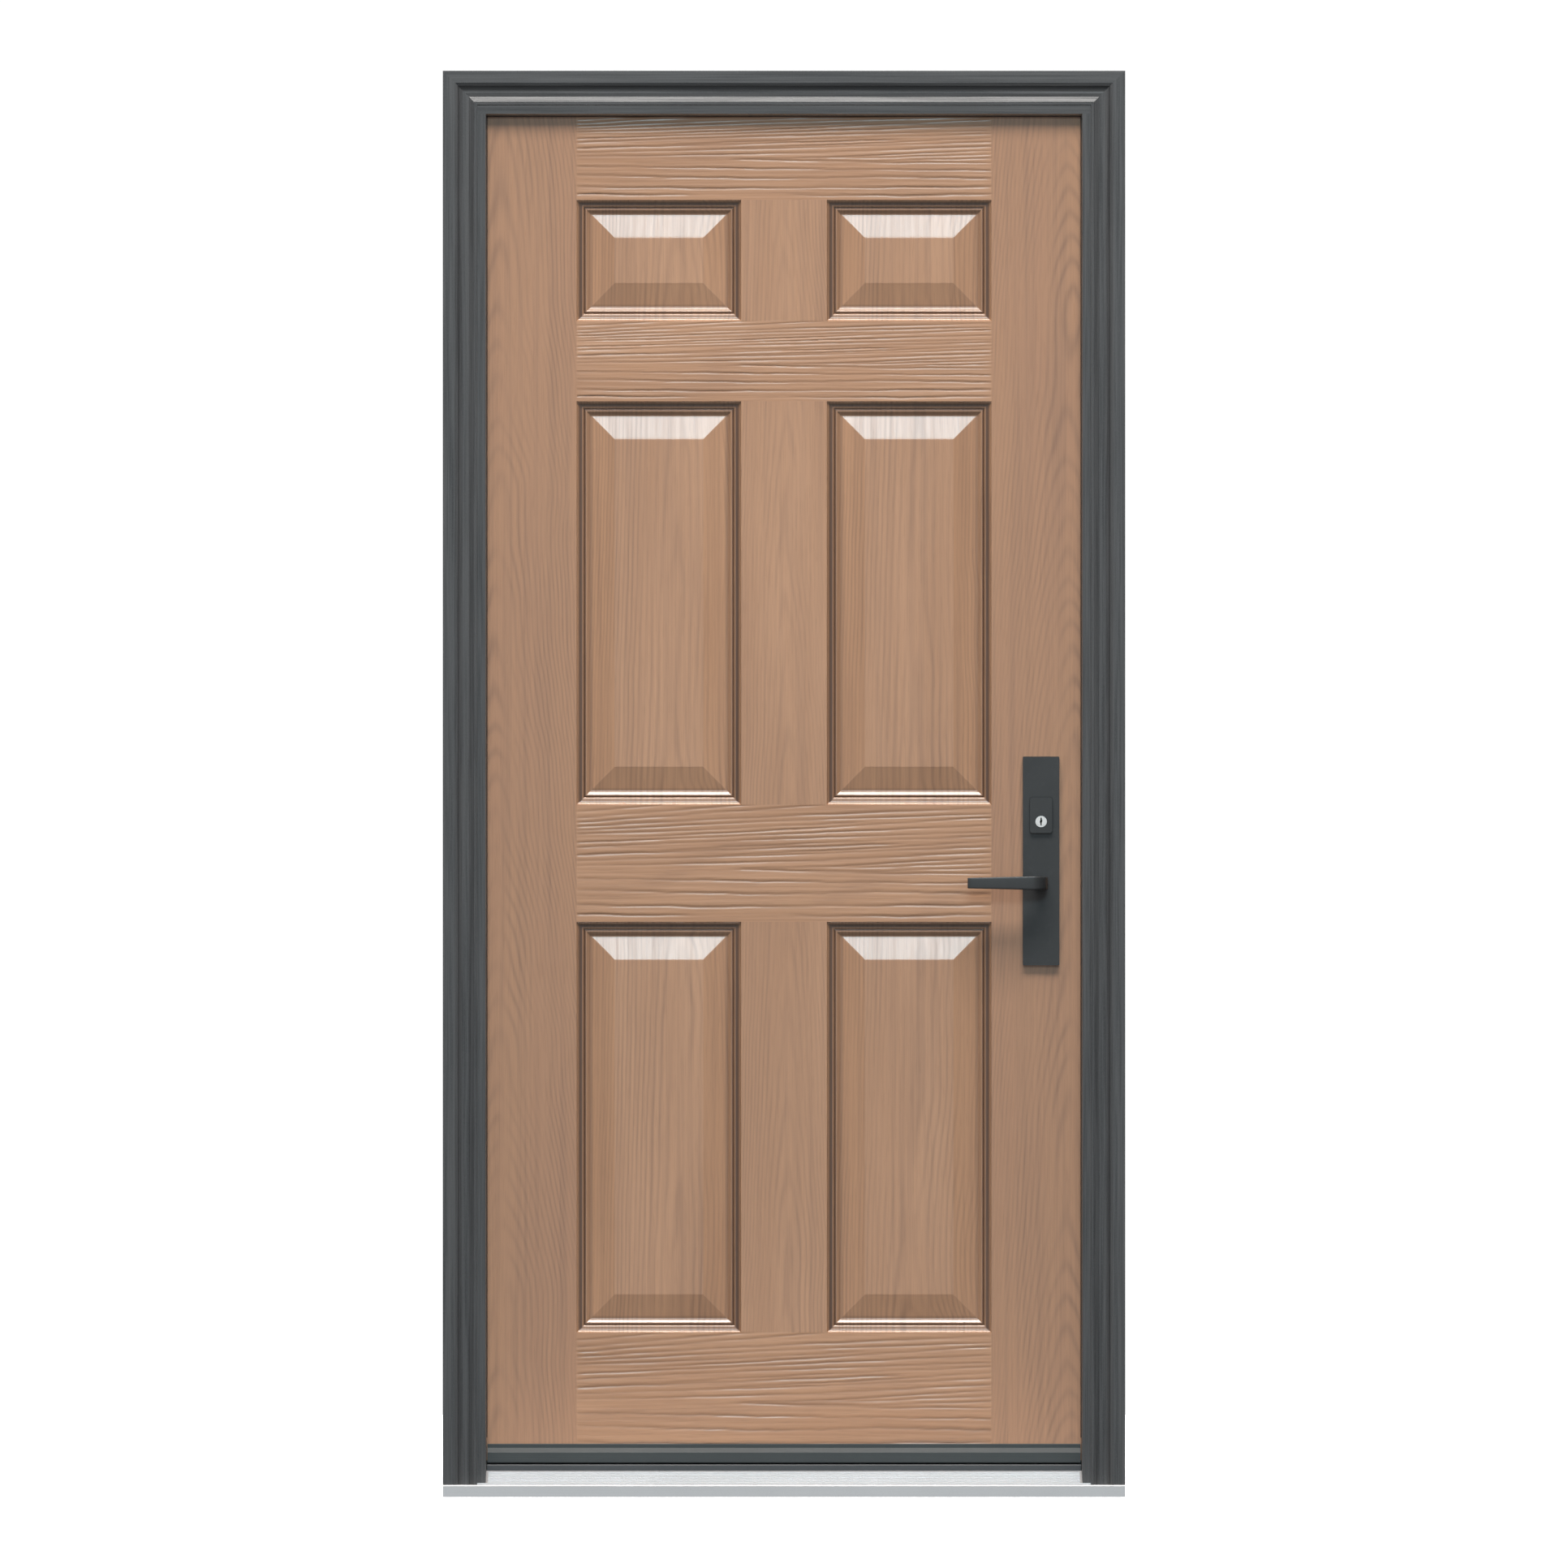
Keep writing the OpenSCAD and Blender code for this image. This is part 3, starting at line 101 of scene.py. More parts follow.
class Graph:
    """A Principled material with short calls for the nodes around it."""

    def __init__(self, name, rough=0.4, metal=0.0, spec=None):
        self.mat = bpy.data.materials.new(name)
        self.mat.use_nodes = True
        self.nodes = self.mat.node_tree.nodes
        self.links = self.mat.node_tree.links
        self.bsdf = self.nodes["Principled BSDF"]
        self.bsdf.inputs["Roughness"].default_value = rough
        self.bsdf.inputs["Metallic"].default_value = metal
        self.bsdf.inputs["IOR"].default_value = 1.5
        if spec is not None:
            self.bsdf.inputs["Specular IOR Level"].default_value = spec
        self.place = self.nodes.new("ShaderNodeTexCoord").outputs["Object"]
        split = self.nodes.new("ShaderNodeSeparateXYZ")
        self.links.new(self.place, split.inputs[0])
        self.x, self.y, self.z = split.outputs

    def put(self, socket, value):
        if isinstance(value, bpy.types.NodeSocket):
            self.links.new(value, socket)
        else:
            socket.default_value = value

    def math(self, op, a, b=0.0, c=0.0, clamp=False):
        n = self.nodes.new("ShaderNodeMath")
        n.operation = op
        n.use_clamp = clamp
        for i, v in enumerate((a, b, c)):
            self.put(n.inputs[i], v)
        return n.outputs[0]

    def add(self, a, b):
        return self.math("ADD", a, b)

    def mul(self, a, b):
        return self.math("MULTIPLY", a, b)

    def vector(self, x, y, z):
        n = self.nodes.new("ShaderNodeCombineXYZ")
        for i, v in enumerate((x, y, z)):
            self.put(n.inputs[i], v)
        return n.outputs[0]

    def noise(self, vector, scale=1.0, detail=2.0, rough=0.5):
        n = self.nodes.new("ShaderNodeTexNoise")
        self.put(n.inputs["Vector"], vector)
        n.inputs["Scale"].default_value = scale
        n.inputs["Detail"].default_value = detail
        n.inputs["Roughness"].default_value = rough
        return n.outputs[0]

    def stretched(self, sx, sy, sz, seed, detail, rough):
        """Noise with its own scale along each axis."""
        shifted = self.math("MULTIPLY_ADD", self.x, sx, seed)
        place = self.vector(shifted, self.mul(self.y, sy), self.mul(self.z, sz))
        return self.noise(place, 1.0, detail, rough)

    def ramp(self, fac, *stops):
        n = self.nodes.new("ShaderNodeValToRGB")
        n.color_ramp.interpolation = "EASE"
        el = n.color_ramp.elements
        while len(el) < len(stops):
            el.new(0.5)
        for e, (at, v) in zip(el, stops):
            e.position = at
            e.color = (v, v, v, 1)
        self.put(n.inputs[0], fac)
        return n.outputs[0]

    def mix(self, fac, a, b):
        n = self.nodes.new("ShaderNodeMix")
        n.data_type = "RGBA"
        self.put(n.inputs[0], fac)
        for socket, v in ((n.inputs[6], a), (n.inputs[7], b)):
            self.put(socket, (*v, 1) if isinstance(v, tuple) else v)
        return n.outputs[2]

    def range(self, fac, lo, hi, a=0.0, b=1.0):
        n = self.nodes.new("ShaderNodeMapRange")
        for i, v in enumerate((fac, lo, hi, a, b)):
            self.put(n.inputs[i], v)
        return n.outputs[0]

    def attribute(self, name):
        n = self.nodes.new("ShaderNodeAttribute")
        n.attribute_name = name
        return n.outputs["Fac"]

    def color(self, value):
        self.put(self.bsdf.inputs["Base Color"], value)
        return self

    def rough(self, value):
        self.put(self.bsdf.inputs["Roughness"], value)
        return self

    def bump(self, height, distance, strength=1.0, socket="Normal"):
        n = self.nodes.new("ShaderNodeBump")
        n.inputs["Strength"].default_value = strength
        n.inputs["Distance"].default_value = distance
        self.put(n.inputs["Height"], height)
        self.links.new(n.outputs[0], self.bsdf.inputs[socket])
        return self

    def coat_bump(self, height, distance, strength):
        return self.bump(height, distance, strength, "Coat Normal")


def srgb(r, g, b):
    def line(c):
        c /= 255
        return c / 12.92 if c <= 0.04045 else ((c + 0.055) / 1.055) ** 2.4
    return line(r), line(g), line(b)


# ---------- Stained wood grain of the skins, with painted shade in grooves and mouldings ---

def wood(name, along, centre, width, length, lines, sway, seed, base, dark, pale, contrast=1.0,
         grooves=False):
    """Flat-sawn grain: lines of a cone cut lengthwise, which arch around centre and run straight
    beside it. along is the grain's axis, width and length set the arches, lines their number."""
    g = Graph(name, rough=0.34)
    across, run = (g.x, g.z) if along == "z" else (g.z, g.x)

    def field(sa, sr, off, detail=2.0, rough=0.5):
        v = g.vector(g.math("MULTIPLY_ADD", across, sa, seed + off), g.mul(g.y, 20), g.mul(run, sr))
        return g.noise(v, 1.0, detail, rough)

    drift = g.math("SUBTRACT", field(1.2, 1.9, 3.7, 2), 0.5)
    wobble = g.math("SUBTRACT", field(16.0, 6.0, 9.1, 3), 0.5)
    place = g.add(g.math("SUBTRACT", across, centre), g.mul(drift, 0.045))
    arch = g.math("POWER", g.math("ABSOLUTE", g.math("DIVIDE", place, width)), 1.6)
    cone = g.add(g.add(arch, g.math("DIVIDE", run, length)), g.mul(drift, sway))
    phase = g.add(g.mul(cone, lines), g.mul(wobble, 1.1))
    wave = g.math("MULTIPLY_ADD", g.math("SINE", g.mul(phase, 2 * math.pi)), 0.5, 0.5)
    late = g.math("POWER", wave, 2.2)
    fibre = field(520.0, 7.0, 1.3, 4, 0.6)
    streak = field(150.0, 1.5, 5.9, 4, 0.6)
    tone = field(13.0, 1.6, 7.7, 3)
    pore = g.ramp(field(900.0, 26.0, 2.2, 1), (0.34, 1.0), (0.42, 0.0))
    fade = g.range(field(26.0, 2.6, 11.3, 2), 0.36, 0.64, 0.12, 1.0)
    line = g.add(g.mul(g.mul(late, fade), 0.55), g.mul(g.range(streak, 0.44, 0.70), 0.42))
    line = g.mul(line, contrast)
    col = g.mix(g.range(tone, 0.34, 0.68), base, pale)
    col = g.mix(g.math("MULTIPLY", line, 1.0, clamp=True), col, dark)
    col = g.mix(g.mul(g.range(fibre, 0.35, 0.75), 0.12), col, tuple(0.62 * c for c in dark))
    col = g.mix(g.mul(pore, 0.10), col, tuple(0.45 * c for c in dark))
    rough = g.add(g.mul(line, 0.17), g.range(fibre, 0.3, 0.7, 0.27, 0.37))
    height = g.add(g.mul(line, -0.55), g.add(g.mul(fibre, 0.4), g.mul(pore, -0.4)))
    if grooves:
        cut = g.attribute("groove")
        fine = field(430.0, 5.0, 4.4, 3, 0.6)
        # Painted shade along the rails' grooves
        col = g.mix(g.mul(cut, 0.5), col, tuple(0.42 * c for c in dark))
        height = g.add(height, g.mul(fine, 0.5))
    else:
        # Painted shade in the hollows and steep faces of the panels' moulding, read from its point values
        painted_shade = g.mul(g.attribute("stain"), g.range(streak, 0.3, 0.7, 1.0, 0.86))
        col = g.mix(painted_shade, col, SHADE_DARK)
    g.color(col).rough(rough).bump(height, 0.16 * MM, 0.7)
    g.bsdf.inputs["Coat Weight"].default_value = 0.35 if grooves else 0.85
    g.bsdf.inputs["Coat IOR"].default_value = 1.55
    g.put(g.bsdf.inputs["Coat Roughness"], g.range(streak, 0.35, 0.7, 0.10, 0.20))
    g.coat_bump(g.add(streak, g.mul(fibre, 0.25)), 0.10 * MM, 0.6)
    return g.mat


# Colour of the painted shade in the panels' mouldings
SHADE_DARK = srgb(66, 40, 26)
TAN = srgb(190, 144, 111)
TAN_PALE = srgb(203, 156, 122)
TAN_STILE = srgb(187, 141, 110)
TAN_LINE = srgb(146, 110, 88)
skins = {}
for side, s in (("exterior", 0.0), ("interior", 40.0)):
    skins[side] = [
        wood(side + "_stile_left", "z", -0.425, 0.10, 0.62, 11, 1.1, s + 1.0, TAN_STILE, TAN_LINE, TAN, 0.8),
        wood(side + "_stile_right", "z", 0.425, 0.10, 0.70, 11, 1.1, s + 5.0, TAN_STILE, TAN_LINE, TAN, 0.8),
        wood(side + "_mullion", "z", 0.0, 0.055, 0.9, 7, 0.5, s + 9.0, TAN, TAN_LINE, TAN_PALE, 0.6),
        wood(side + "_panel_left", "z", -0.16, 0.085, 2.4, 9, 0.6, s + 13.0, TAN, TAN_LINE, TAN_PALE, 0.7),
        wood(side + "_panel_right", "z", 0.2, 0.085, 2.6, 9, 0.6, s + 17.0, TAN, TAN_LINE, TAN_PALE, 0.7),
        wood(side + "_rail", "x", 2.2, 1.0, 2.5, 6.0, 0.6, s + 21.0, TAN, TAN_LINE, TAN_PALE, 0.3, True),
    ]
STILE_L, STILE_R, POST, PANEL_L, PANEL_R, RAIL = range(6)


# ---------- Embossed ridges of the rails ----------

# Each groove as depths below the rail's top, in mm on a 175 mm rail, at shares of its length
GROOVES = [
    ([0, 0.25], [11, -2]), ([0, 0.45], [20, -2]), ([0, 0.62], [27, -1]), ([0, 0.5, 1], [33, 17, 5]),
    ([0, 0.5, 1], [39, 24, 14]), ([0, 0.3, 0.7], [44, 38, 26]), ([0.1, 0.5, 1], [50, 38, 19]),
    ([0, 0.5, 1], [57, 44, 31]), ([0, 0.45, 1], [64, 52, 41]), ([0.2, 0.6, 1], [68, 57, 47]),
    ([0, 0.4, 0.8], [75, 67, 58]), ([0.35, 0.7, 1], [75, 66, 55]), ([0, 0.5, 1], [84, 75, 63]),
    ([0, 0.3, 0.6, 1], [91, 88, 83, 71]), ([0.36, 0.6, 1], [95, 93, 79]), ([0.38, 0.7, 1], [96, 94, 87]),
    ([0.36, 0.7, 1], [97, 100, 94]), ([0.42, 0.75, 1], [98, 103, 103]),
    ([0, 0.3, 0.6, 1], [110, 113, 116, 118]), ([0, 0.3, 0.5, 0.75, 1], [127, 132, 134, 130, 134]),
    ([0, 0.35, 0.7, 1], [150, 153, 151, 150]), ([0.5, 0.8, 1], [166, 167, 164]), ([0, 0.3], [164, 166]),
]
RAIL_HIGH, RAIL_LONG = 175, 620  # the rail that the grooves are stated on, in mm
RIM_Z, RIM_X = 1.5, 2.5  # the ridges fade out over these distances from its edges, in mm
LOWER_PART = 105  # grooves that start below this are wider and deeper
DEPTH = 0.75 * MM
NEAR = 2 * MM  # grid lines kept this close to each joint line, so its shading stays crisp


def grooves(x, below, height, seed):
    """Depth of the ridges, and the strength of the painted shade along their grooves, at points x along a
    rail, at a distance below its top.
    """
    t = (x - PANEL_X[0][0]) / (PANEL_X[1][1] - PANEL_X[0][0])
    d = below / MM * RAIL_HIGH * MM / height
    cut = np.zeros_like(t)
    shade = np.zeros_like(t)
    rng = np.random.default_rng(seed)
    for ts, ds in GROOVES:
        low = ds[0] > LOWER_PART
        tt = np.linspace(ts[0], ts[-1], 40)
        dd = np.interp(tt, ts, ds)
        for _ in range(3):
            dd[1:-1] = (dd[:-2] + dd[1:-1] + dd[2:]) / 3
        y = np.interp(t, tt, dd)
        sway = 1.0 if low else 0.6
        for k, amp in ((5, 0.5), (11, 0.42), (19, 0.3)):
            y = y + sway * amp * np.sin(2 * np.pi * k * (t + rng.random())) * (0.5 + rng.random())
        w = (1.75 if low else 1.5) * (0.85 + 0.3 * rng.random())
        force = (0.75 if low else 0.55) + 0.35 * rng.random()
        force = force * (0.72 + 0.28 * np.sin(2 * np.pi * (1.7 * t + rng.random())))
        ends = np.clip((t - ts[0]) / 0.05, 0, 1) if ts[0] > 0 else 1.0
        ends = ends * (np.clip((ts[-1] - t) / 0.05, 0, 1) if ts[-1] < 1 else 1.0)
        u = (d - y) / w
        cut = cut + force * ends * (np.exp(-u * u) - 0.35 * np.exp(-((u + 2.6) / 1.6) ** 2))
        # Painted shade along the middle of each groove
        shade = np.maximum(shade, force * ends * np.exp(-((u - 0.1) / 0.8) ** 2))
    for k, amp in ((3.1, 0.05), (7.3, 0.04)):
        cut = cut + amp * np.sin(2 * np.pi * (k * d / 40 + 0.6 * np.sin(2 * np.pi * (t + 0.1 * k))))
    rim = np.clip(np.minimum(below, height - below) / (RIM_Z * MM), 0, 1)
    rim = rim * np.clip(np.minimum(t, 1 - t) * RAIL_LONG / RIM_X, 0, 1)
    return np.clip(cut, -0.3, 1.1) * rim * DEPTH, np.clip(shade, 0, 1) * rim


def moulding():
    """Section of a panel's moulding, as (distance in from its edge, depth below the face)."""
    pts = []
    for a in np.radians(np.linspace(0, 90, 8)):
        pts.append((6.2 - 6.2 * math.cos(a), 4.6 * math.sin(a)))
    pts += [(7.6, 4.78), (8.2, 4.8)]
    for a in np.radians([15, 30, 45, 60, 75, 90]):
        pts.append((8.2 + 3 * math.sin(a), 4.8 + 2.4 * (1 - math.cos(a))))
    pts += [(11.9, 7.0), (12.35, 5.7), (12.9, 5.25), (14.9, 5.1), (15.7, 5.5), (17, 6.6), (19.0, 7.9),
            (20.7, 8.55), (22, 8.6), (22.6, 8.5), (23.4, 8.35), (25.5, 7.95), (54.4, 2.43), (55.2, 2.28),
            (55.9, 2.08), (57, 1.9)]
    return [(a * MM, b * MM) for a, b in pts]


# How dark the painted shade in the moulding is, by the distance in from its edge in mm
SHADE_BY_INSET = ([0, 1.4, 3.4, 4.4, 7.6, 8.8, 10.2, 11.4, 12.9, 13.6, 17.0, 21.0, 22.6, 25.5],
          [0, 0.1, 0.6, 0.95, 0.95, 0.4, 0.35, 0.8, 0.85, 0.1, 0.2, 0.4, 0.3, 0])


def grid_lines(*spans):
    """Sorted grid lines: each span is (from, to, number of steps)."""
    out = []
    for a, b, n in spans:
        out += [a + (b - a) * i / n for i in range(n + 1)]
    out.sort()
    keep = [out[0]]
    for v in out[1:]:
        if v - keep[-1] > 1e-5:
            keep.append(v)
    return keep


def between(v, spans):
    """The index of the span that holds v, or None."""
    return next((i for i, (a, b) in enumerate(spans) if a < v < b), None)


class Sheet:
    """The face of a skin: quads over shared points, with values at each point for the painted shade of the
    grooves and of the moulding.
    """

    def __init__(self):
        self.points, self.index, self.shade, self.stain = [], {}, [], []
        self.faces, self.mats = [], []

    def point(self, x, z, depth=0.0, shade=0.0, stain=0.0):
        key = (round(x * 1e6), round(z * 1e6), round(depth * 1e7))
        if key not in self.index:
            self.index[key] = len(self.points)
            self.points.append((x, depth, z))
            self.shade.append(shade)
            self.stain.append(stain)
        return self.index[key]

    def face(self, ids, mat):
        ids = [v for i, v in enumerate(ids) if v != ids[i - 1]]
        if len(ids) > 2:
            self.faces.append(ids)
            self.mats.append(mat)


def smooth(mesh, angle):
    """Smooth shading with a sharp edge wherever two faces meet at more than the angle."""
    bm = bmesh.new()
    bm.from_mesh(mesh)
    for f in bm.faces:
        f.smooth = True
    limit = math.radians(angle)
    for e in bm.edges:
        e.smooth = len(e.link_faces) == 2 and e.calc_face_angle(0) < limit
    bm.to_mesh(mesh)
    bm.free()


BOLT_IN = 20 * MM  # from a through bolt's axis to the plate's end
LEAF_RECESS, LEAF_SINK = 101.8 * MM, 2.6 * MM  # length and depth of a hinge leaf's recess


def skin_mesh(name, indoor, materials):
    """A moulded skin as one closed solid, with embossed rails and panels with a swept moulding."""
    holes = []
    lx = lever_axis.x
    # Behind the handle set: the lever's hub, the cylinder and the plate's two through bolts
    for z, w, h in ((lever_axis.z, 24, 24), (key_axis.z + 8 * MM, 20, 36),
                    (plate_lo.z + BOLT_IN, 10, 10), (plate_hi.z - BOLT_IN, 10, 10)):
        holes.append((lx - w / 2 * MM, lx + w / 2 * MM, z - h / 2 * MM, z + h / 2 * MM))
    if indoor:
        for lo, hi, _ in leaf_boxes:
            top = min(hi.z, lo.z + LEAF_RECESS)
            holes.append((-XE - 1, -XE + LEAF_SINK, lo.z - 0.1 * MM, top))
    xs = grid_lines((-XE, -XE + STILE, 3), (-XE + STILE, -MULLION / 2, 20), (-MULLION / 2, MULLION / 2, 10),
               (MULLION / 2, XE - STILE, 20), (XE - STILE, XE, 3),
               *[(x - NEAR, x + NEAR, 2) for x in (-XE + STILE, -MULLION / 2, MULLION / 2, XE - STILE)],
               *[(max(a, -XE), b, 1) for a, b, _, _ in holes])
    zs = grid_lines(*[(a, b, round((b - a) / (1.0 * MM))) for a, b in RAIL_Z],
               *[(a, b, max(4, round((b - a) / 0.07))) for a, b in PANEL_Z],
               *[(z - NEAR, z + NEAR, 2) for z in LEVELS[1:-1]],
               *[(c, d, 1) for _, _, c, d in holes])
    s = Sheet()
    grid = {}
    X, Z = np.meshgrid(xs, zs, indexing="ij")
    deep, shade = np.zeros_like(X), np.zeros_like(X)
    for k, (a, b) in enumerate(RAIL_Z):
        m = (Z > a - 1e-7) & (Z < b + 1e-7) & (X > PANEL_X[0][0] - 1e-7) & (X < PANEL_X[1][1] + 1e-7)
        deep[m], shade[m] = grooves(X[m], b - Z[m], b - a, 11)
    for i, x in enumerate(xs):
        for j, z in enumerate(zs):
            grid[i, j] = (x, z, deep[i, j], shade[i, j])
    for i in range(len(xs) - 1):
        for j in range(len(zs) - 1):
            cx, cz = (xs[i] + xs[i + 1]) / 2, (zs[j] + zs[j + 1]) / 2
            if any(a < cx < b and c < cz < d for a, b, c, d in holes):
                continue
            column, row = between(cx, PANEL_X), between(cz, PANEL_Z)
            if column is not None and row is not None:
                continue
            rail = between(cz, RAIL_Z)
            if abs(cx) > XE - STILE:
                mat = STILE_L if cx < 0 else STILE_R
            elif rail is not None:
                mat = RAIL
            else:
                mat = POST
            ids = [s.point(*grid[q]) for q in ((i, j), (i + 1, j), (i + 1, j + 1), (i, j + 1))]
            s.face(ids, mat)
    rings = moulding()
    inner = rings[-1][0]
    for column, (xa, xb) in enumerate(PANEL_X):
        for za, zb in PANEL_Z:
            px = [x for x in xs if xa - 1e-7 < x < xb + 1e-7]
            pz = [z for z in zs if za - 1e-7 < z < zb + 1e-7]
            mat = PANEL_L if column == 0 else PANEL_R
            mid_x, mid_z = (xa + xb) / 2, (za + zb) / 2
            half_x, half_z = (xb - xa) / 2, (zb - za) / 2

            def at(x, z, inset, depth):
                # Painted shade by the distance in from the moulding's edge, cut to 0.3 in the outer 12 mm of
                # the bottom side, which faces up to the light
                lit_bottom_side = z < pz[0] + 1e-6 and px[0] < x < px[-1] and inset < 12 * MM
                return s.point(mid_x + (x - mid_x) * (1 - inset / half_x),
                               mid_z + (z - mid_z) * (1 - inset / half_z), depth,
                               stain=float(np.interp(inset / MM, *SHADE_BY_INSET)) * (0.3 if lit_bottom_side else 1))

            loop = [(x, pz[0]) for x in px[:-1]] + [(px[-1], z) for z in pz[:-1]]
            loop += [(x, pz[-1]) for x in reversed(px[1:])] + [(px[0], z) for z in reversed(pz[1:])]
            for (a, da), (b, db) in zip(rings[:-1], rings[1:]):
                for k, p in enumerate(loop):
                    q = loop[(k + 1) % len(loop)]
                    s.face([at(*p, a, da), at(*q, a, da), at(*q, b, db), at(*p, b, db)], mat)
            for i in range(len(px) - 1):
                for j in range(len(pz) - 1):
                    quad = ((px[i], pz[j]), (px[i + 1], pz[j]), (px[i + 1], pz[j + 1]), (px[i], pz[j + 1]))
                    s.face([at(*p, inner, rings[-1][1]) for p in quad], mat)
    n = len(s.points)
    sign = -1 if indoor else 1
    y = IN_FACE if indoor else OUT_FACE
    front = [(p[0], y + sign * p[1], p[2]) for p in s.points]
    back = [(p[0], y + sign * (p[1] + SKIN_T), p[2]) for p in s.points]
    faces = [f if not indoor else f[::-1] for f in s.faces]
    edges = {}
    for f, m in zip(faces, s.mats):
        for a, b in zip(f, f[1:] + f[:1]):
            edges[a, b] = m
    rim = [(a, b, m) for (a, b), m in edges.items() if (b, a) not in edges]
    every = faces + [[v + n for v in reversed(f)] for f in faces] + [[b, a, a + n, b + n] for a, b, _ in rim]
    mesh = bpy.data.meshes.new(name)
    mesh.from_pydata(front + back, [], every)
    mesh.polygons.foreach_set("material_index", s.mats + s.mats + [m for _, _, m in rim])
    # Painted shade of the rails' grooves and of the panels' mouldings, as point values for the materials
    for kind, values in (("groove", s.shade), ("stain", s.stain)):
        mesh.attributes.new(kind, "FLOAT", "POINT").data.foreach_set("value", values + [0.0] * n)
    for m in materials:
        mesh.materials.append(m)
    smooth(mesh, 28)
    obj = bpy.data.objects.new(name, mesh)
    bpy.context.scene.collection.objects.link(obj)
    return obj


outside = skin_mesh("outside_skin_face", False, skins["exterior"])
inside = skin_mesh("inside_skin_face", True, skins["interior"])
for obj, node in ((outside, "exterior_skin"), (inside, "interior_skin")):
    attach(obj, "door")
    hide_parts(node)


# ---------- Levers ----------

def superellipse(n, power, high):
    """A ring of n points, 2 wide and 2 * high tall; a larger power is squarer."""
    out = []
    for k in range(n):
        t = 2 * math.pi * k / n
        c, s = math.cos(t), math.sin(t)
        out.append((math.copysign(abs(c) ** (2 / power), c), high * math.copysign(abs(s) ** (2 / power), s)))
    return out


def lever_mesh(name, base, out):
    """A neck that bends into a tapered blade. base is the plate's face and out the way from it."""
    neck, reach, blade, bend, fillet, length = 10, 46, 11, 24, 8, 110
    ring = []  # outer point, inner point, half height, roundness
    for y, power in ((0.6, 2.0), (4, 2.2), (8, 4.0), (12, 6.0), (18, 7.0), (reach - bend, 7.0)):
        ring.append(((neck, y), (-neck, min(y, reach - blade - fillet)), neck, power))
    for k in range(1, 11):
        a = math.radians(9 * k)
        o = (neck - bend + bend * math.cos(a), reach - bend + bend * math.sin(a))
        i = (-neck - fillet + fillet * math.cos(a), reach - blade - fillet + fillet * math.sin(a))
        ring.append((o, i, 10 + 0.25 * k / 10, 7.0 + 0.1 * k))
    for k in range(1, 13):
        x = -18 - (length - 18) * k / 12
        half = 10.25 - (10.25 - 8) * (-x - 10) / (length - 10)
        ring.append(((x, reach), (x, reach - blade), half, 8.0))
    # The tip: the last section pulled in, then two smaller ones
    x = -length
    o, i, half, p = ring[-1]
    ring[-1] = ((x + 0.9, o[1]), (x + 0.9, i[1]), half, p)
    for drop in (0.25, 0.6):
        ring.append(((x + 0.6 - drop, reach - drop), (x + 0.6 - drop, reach - blade + drop), 8 - drop, 8.0))
    n = 40
    verts, faces = [], []
    for o, i, half, p in ring:
        cx, cy = (o[0] + i[0]) / 2, (o[1] + i[1]) / 2
        ux, uy = (o[0] - i[0]) / 2, (o[1] - i[1]) / 2
        for u, v in superellipse(n, p, half):
            verts.append((lever_axis.x + (cx + u * ux) * MM, base + out * (cy + u * uy) * MM,
                          lever_axis.z + v * MM))
    for r in range(len(ring) - 1):
        for k in range(n):
            q = (k + 1) % n
            f = [r * n + k, r * n + q, (r + 1) * n + q, (r + 1) * n + k]
            faces.append(f if out < 0 else f[::-1])
    last = (len(ring) - 1) * n
    ends = [list(range(n))[::-1], list(range(last, last + n))]
    faces += [e if out < 0 else e[::-1] for e in ends]
    mesh = bpy.data.meshes.new(name)
    mesh.from_pydata(verts, [], faces)
    mesh.update()
    smooth(mesh, 40)
    obj = bpy.data.objects.new(name, mesh)
    bpy.context.scene.collection.objects.link(obj)
    return obj


# ---------- Other materials ----------

def painted_wood(name, along):
    """Charcoal paint over an embossed timber texture, with a fine speckle."""
    g = Graph(name, rough=0.42)
    scale = {"z": (420, 420, 6), "x": (6, 420, 420)}[along]
    grain = g.stretched(*scale, 1.7, 4, 0.6)
    broad = (scale[0] / 4, 60, 1.6) if along == "z" else (1.6, 60, scale[2] / 4)
    wide = g.stretched(*broad, 4.1, 3, 0.55)
    speck = g.noise(g.place, 900.0, 2.0)
    tone = g.noise(g.place, 4.0, 2.0)
    base, deep, pale = srgb(85, 85, 86), srgb(60, 60, 61), srgb(99, 98, 98)
    col = g.mix(g.range(grain, 0.34, 0.62), deep, base)
    col = g.mix(g.mul(g.range(wide, 0.45, 0.7), 0.5), col, pale)
    col = g.mix(g.mul(g.range(speck, 0.5, 0.7), 0.22), col, srgb(110, 112, 114))
    col = g.mix(g.mul(g.range(tone, 0.3, 0.7), 0.12), col, srgb(72, 75, 79))
    height = g.add(g.mul(grain, 0.8), g.add(g.mul(wide, 0.5), g.mul(speck, 0.15)))
    g.color(col).rough(g.range(grain, 0.3, 0.7, 0.5, 0.36)).bump(height, 0.25 * MM, 0.7)
    return g.mat


def keyway_shade(g, mid):
    """Painted shade in the slot of a keyway at mid: a narrow upright slot with a wider middle."""
    masks = []
    for half_x, half_z in ((1.0 * MM, 5.8 * MM), (1.7 * MM, 1.1 * MM)):
        across = g.math("LESS_THAN", g.math("ABSOLUTE", g.math("SUBTRACT", g.x, mid.x)), half_x)
        along = g.math("LESS_THAN", g.math("ABSOLUTE", g.math("SUBTRACT", g.z, mid.z)), half_z)
        masks.append(g.mul(across, along))
    col = g.bsdf.inputs["Base Color"].links[0].from_socket
    g.color(g.mix(g.mul(g.math("MAXIMUM", *masks), 0.96), col, srgb(12, 12, 13)))


